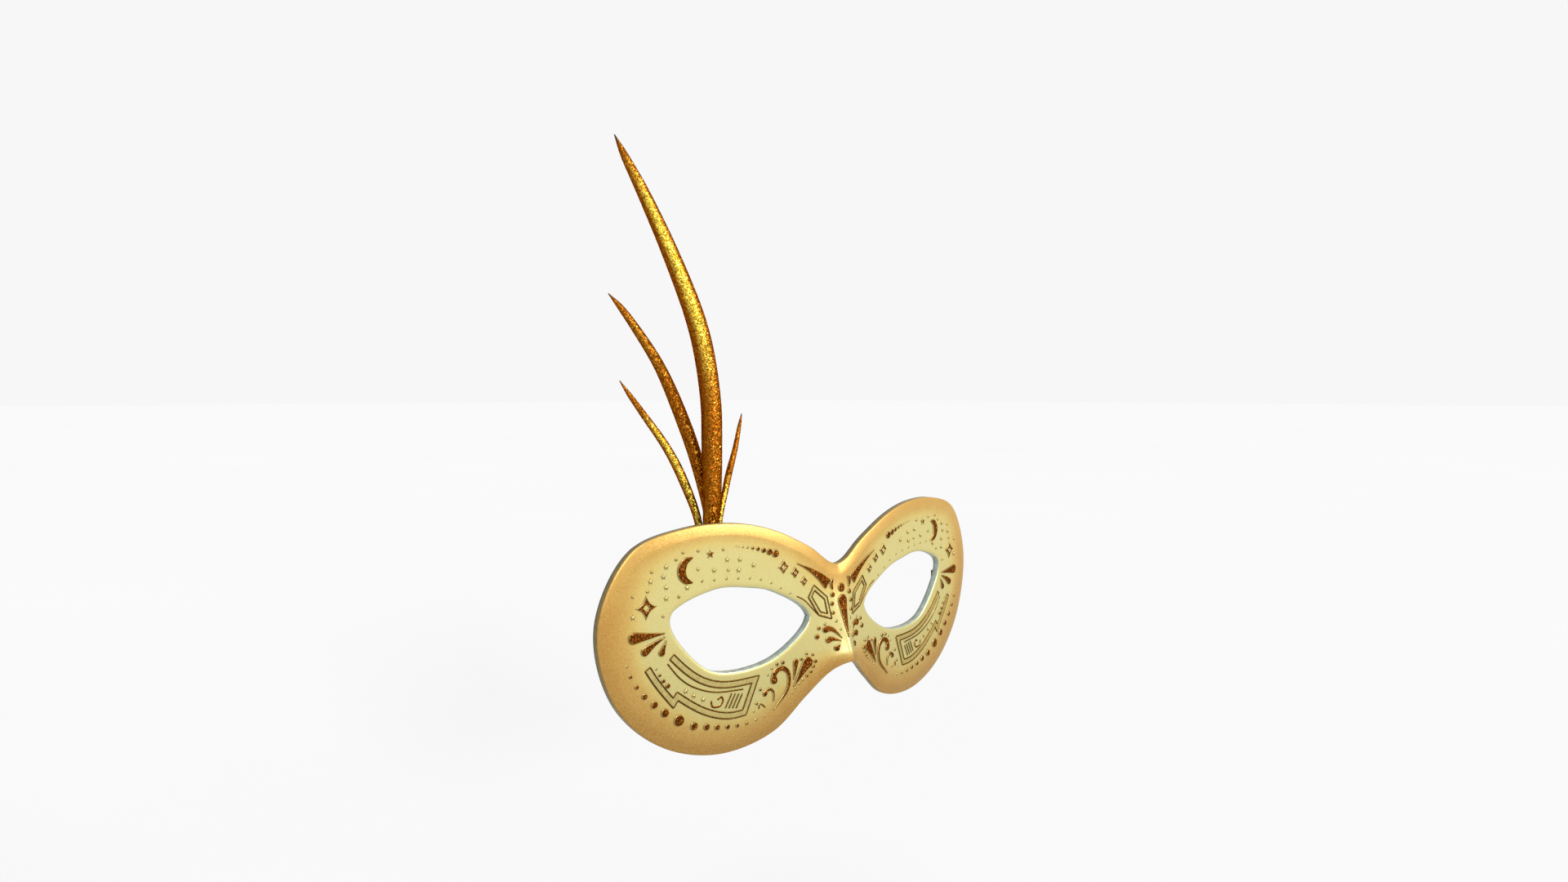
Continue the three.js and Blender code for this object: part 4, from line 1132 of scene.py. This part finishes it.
def add_nose_pad():
    """A cut foam pad: its front follows the lining and its flat back is rounded over at the rim."""
    sides, rings = 72, 14
    points = []
    for level in (0, 1):
        for r in range(rings + 1):
            share = math.sin(r / rings * math.pi / 2)
            for k in range(sides):
                angle = 2 * math.pi * k / sides
                c, s = math.cos(angle), math.sin(angle)
                x = PAD_HALF_WIDTH * share * c
                z = PAD_HALF_HEIGHT * share * math.copysign(abs(s) ** 0.5, s) * (1 if abs(s) > 0.01 else 0)
                past = max((share - PAD_ROUNDED_FROM) / (1 - PAD_ROUNDED_FROM), 0)
                over = PAD_ROUNDING * (1 - math.sqrt(max(1 - past ** 2, 0)))
                grain = RNG.uniform(-FOAM_GRAIN, FOAM_GRAIN)
                y = -0.02 - over + grain if level else lining_back_y(x, z) + 0.04 + 0.4 * over
                points.append([x, y, z])
    count = (rings + 1) * sides
    disc = ring_faces(rings + 1, sides)
    faces = disc + [[i + count for i in face] for face in disc]
    for k in range(sides):
        a, b = rings * sides + k, rings * sides + (k + 1) % sides
        faces.append([a, b, b + count, a + count])
    pad = make("pad", points, faces, FOAM, "grey_foam", replaces=["nose_pad"])
    tidy(pad, weld=0.01)


def softened(name, node, material, width):
    """A copy of a CAD node with its sharp edges rounded."""
    bm = welded(node)
    bmesh.ops.dissolve_limit(bm, angle_limit=math.radians(1), verts=bm.verts, edges=bm.edges)
    mesh = bpy.data.meshes.new(name)
    bm.to_mesh(mesh)
    bm.free()
    mesh.materials.clear()
    mesh.materials.append(material)
    mesh.shade_smooth()
    piece = add_object(name, mesh)
    bevel = piece.modifiers.new("rounded edges", "BEVEL")
    bevel.width = width * MM
    bevel.segments = 3
    bevel.limit_method = "ANGLE"
    bevel.angle_limit = math.radians(50)
    bevel.harden_normals = True
    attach(piece, "mask")
    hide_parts(node)


def tab_frame(side):
    """The middle of a tab's place on the lining, and the directions outwards along it and backwards."""
    x = side * TAB_X
    along, back = lining_directions(x, TAB_Z)
    return np.array([x, lining_back_y(x, TAB_Z), TAB_Z]), along * side, back


def add_ring(name, side):
    """A drawn wire bent to a rounded rectangle, with the joint where its ends were brazed."""
    middle, out, back = tab_frame(side)
    middle = middle + back * (GAP + LOOP_OUTER_R)
    half_x, half_z = RING_REACH / 2, RING_HEIGHT / 2
    path = []
    for corner, (sx, sz) in enumerate(((1, 1), (-1, 1), (-1, -1), (1, -1))):
        for angle in np.linspace(0, math.pi / 2, 9) + corner * math.pi / 2:
            path.append([half_x + sx * (half_x - RING_CORNER_R) + RING_CORNER_R * math.cos(angle),
                         sz * (half_z - RING_CORNER_R) + RING_CORNER_R * math.sin(angle)])
    path = evenly(np.array(path), 0.3, True)
    joint = np.exp(-((path[:, 0] - RING_REACH) ** 2 + (path[:, 1] - 1.5) ** 2) / 0.12)
    centre = middle + path[:, :1] * out + path[:, 1:] * np.array([0, 0, 1])
    radii = RING_WIRE_R * WITHIN_CAD * (1 - 0.10 * joint)
    points, faces = tube(centre, radii, 24, closed=True, up=tuple(back))
    tidy(make(f"ring_{name}", points, faces, BRASS, "brass", f"ribbon_ring_{name}",
              replaces=[f"tie_ring_{name}"]))


STITCH_ROWS = (-4.25, 4.25)
STITCH_PITCH = 1.25
STITCH_LENGTH = 0.95
STITCH_LIFT = 0.17
THREAD_R = 0.15


def add_stitches(name, side):
    """Two rows of waxed stitches along a tab's long edges."""
    middle, out, back = tab_frame(side)
    parts = []
    for z in STITCH_ROWS:
        for reach in np.arange(-TAB_LENGTH + 0.9, -1.6, STITCH_PITCH):
            t = np.linspace(0, 1, 9)
            lift = GAP + TAB_THICKNESS - 0.06 + STITCH_LIFT * np.sin(math.pi * t)
            path = middle + np.outer(reach + STITCH_LENGTH * t, out) + np.outer(lift, back)
            path = path + np.array([0, 0, z])
            radii = THREAD_R * np.sin(math.pi * (0.12 + 0.76 * t)) ** 0.5
            points, faces = tube(path, radii, 8, up=(0, 0, 1))
            parts.append((points, faces, {}))
    points, faces = joined(parts)[:2]
    tidy(make(f"stitches_{name}", points, faces, THREAD, "brown_leather"))


def screw_frame(node):
    """Where a screw's head meets its seat, and the directions along the face, up and backwards."""
    low, high = (np.array(corner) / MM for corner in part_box(node))
    bm = welded(node)
    points = np.array([v.co for v in bm.verts]) / MM
    bm.free()
    x, z = (low[0] + high[0]) / 2, (low[2] + high[2]) / 2
    along, back = lining_directions(x, z)
    crown = points[np.argsort(-points[:, 1])][:12].mean(0)
    return crown - back * SCREW_HEAD_HEIGHT, along, np.array([0, 0, 1]), back


def slot_cutter(node, seat, along, up, back):
    """A long box where the driver's slot goes; each screw's slot points its own way."""
    turn = math.radians(20 + 37 * (len(node) % 5))
    side_way = along * math.cos(turn) + up * math.sin(turn)
    cross_way = -along * math.sin(turn) + up * math.cos(turn)
    corners = [seat + back * level + side_way * 1.6 * i + cross_way * SLOT_HALF_WIDTH * j
               for level in (SLOT_BOTTOM, 1.02) for i, j in ((-1, -1), (1, -1), (1, 1), (-1, 1))]
    faces = ring_faces(2, 4) + end_faces(2, 4)
    return tidy(make(f"{node}_slot", corners, faces, BRASS, "brass"))


def add_screw(node):
    """A slotted pan-head screw, turned round the line through its CAD node's head."""
    seat, along, up, back = screw_frame(node)
    r = SCREW_HEAD_R
    profile = [(0.01, -0.9), (0.62, -0.9), (SCREW_SHANK_R, 0.0), (r - 0.1, 0.0), (r, 0.08),
               (r, SCREW_EDGE_HEIGHT)]
    profile += [(r * math.cos(a), SCREW_EDGE_HEIGHT + SCREW_CROWN_HEIGHT * math.sin(a))
                for a in np.linspace(0.1, 1.5, 9)]
    sides = 40
    turn = np.arange(sides) * 2 * math.pi / sides
    spokes = np.outer(np.cos(turn), along) + np.outer(np.sin(turn), up)
    points = np.concatenate([seat + level * back + radius * spokes for radius, level in profile])
    faces = ring_faces(len(profile), sides) + end_faces(len(profile), sides)
    piece = tidy(make(f"{node}_turned", points, faces, BRASS, "brass", replaces=[node]))
    cutter = slot_cutter(node, seat, along, up, back)
    carve = piece.modifiers.new("slot", "BOOLEAN")
    carve.operation = "DIFFERENCE"
    carve.solver = "EXACT"
    carve.object = cutter
    bpy.context.view_layer.update()
    carved = bpy.data.meshes.new_from_object(piece.evaluated_get(bpy.context.evaluated_depsgraph_get()))
    piece.modifiers.clear()
    piece.data = carved
    bpy.data.objects.remove(cutter)
    carved.set_sharp_from_angle(angle=math.radians(35))


def add_back():
    add_lining()
    add_nose_pad()
    softened("block", "plume_block", NYLON, 0.3)
    for name, side in SIDES.items():
        softened(f"tab_{name}", f"tie_tab_{name}", LEATHER, 0.14)
        add_ring(name, side)
        add_stitches(name, side)
    for node in SLOTS:
        if "screw" in node:
            add_screw(node)


add_back()

# ------------------------------------------------------------------ stage and light

FLOOR_Z = -0.25
FLOOR_HALF = 30.0
FLOOR_COLOR = (0.503, 0.505, 0.512)


def add_stage():
    corners = [(x * FLOOR_HALF, y * FLOOR_HALF, FLOOR_Z) for x, y in ((-1, -1), (1, -1), (1, 1), (-1, 1))]
    mesh = bpy.data.meshes.new("floor")
    mesh.from_pydata(corners, [], [(0, 1, 2, 3)])
    p = Paint("pale floor", Roughness=1.0, Specular_IOR_Level=0.0)
    low = tuple(0.99 * c for c in FLOOR_COLOR)
    p.set("Base Color", p.ramp(p.noise(900, 2), (0.3, low), (0.7, FLOOR_COLOR)))
    mesh.materials.append(p.material)
    add_object("floor", mesh)


def add_sun(name, direction, strength, angle, color=(1, 1, 1)):
    data = bpy.data.lights.new(name, "SUN")
    data.energy = strength
    data.angle = math.radians(angle)
    data.color = color
    lamp = add_object(name, data)
    lamp.rotation_euler = Vector(direction).to_track_quat("Z", "Y").to_euler()


def add_light():
    world = bpy.data.worlds.new("studio")
    world.use_nodes = True
    background = world.node_tree.nodes["Background"]
    background.inputs["Color"].default_value = (1, 1, 1, 1)
    background.inputs["Strength"].default_value = 0.93
    bpy.context.scene.world = world
    add_sun("key", (0.51, -0.80, 0.32), 2.8, 24, (1.0, 0.97, 0.90))
    add_sun("top", (-0.3, -0.45, 0.84), 2.0, 30)
    add_sun("nose", (-0.30, -0.90, 0.30), 1.6, 12)


add_stage()
add_light()
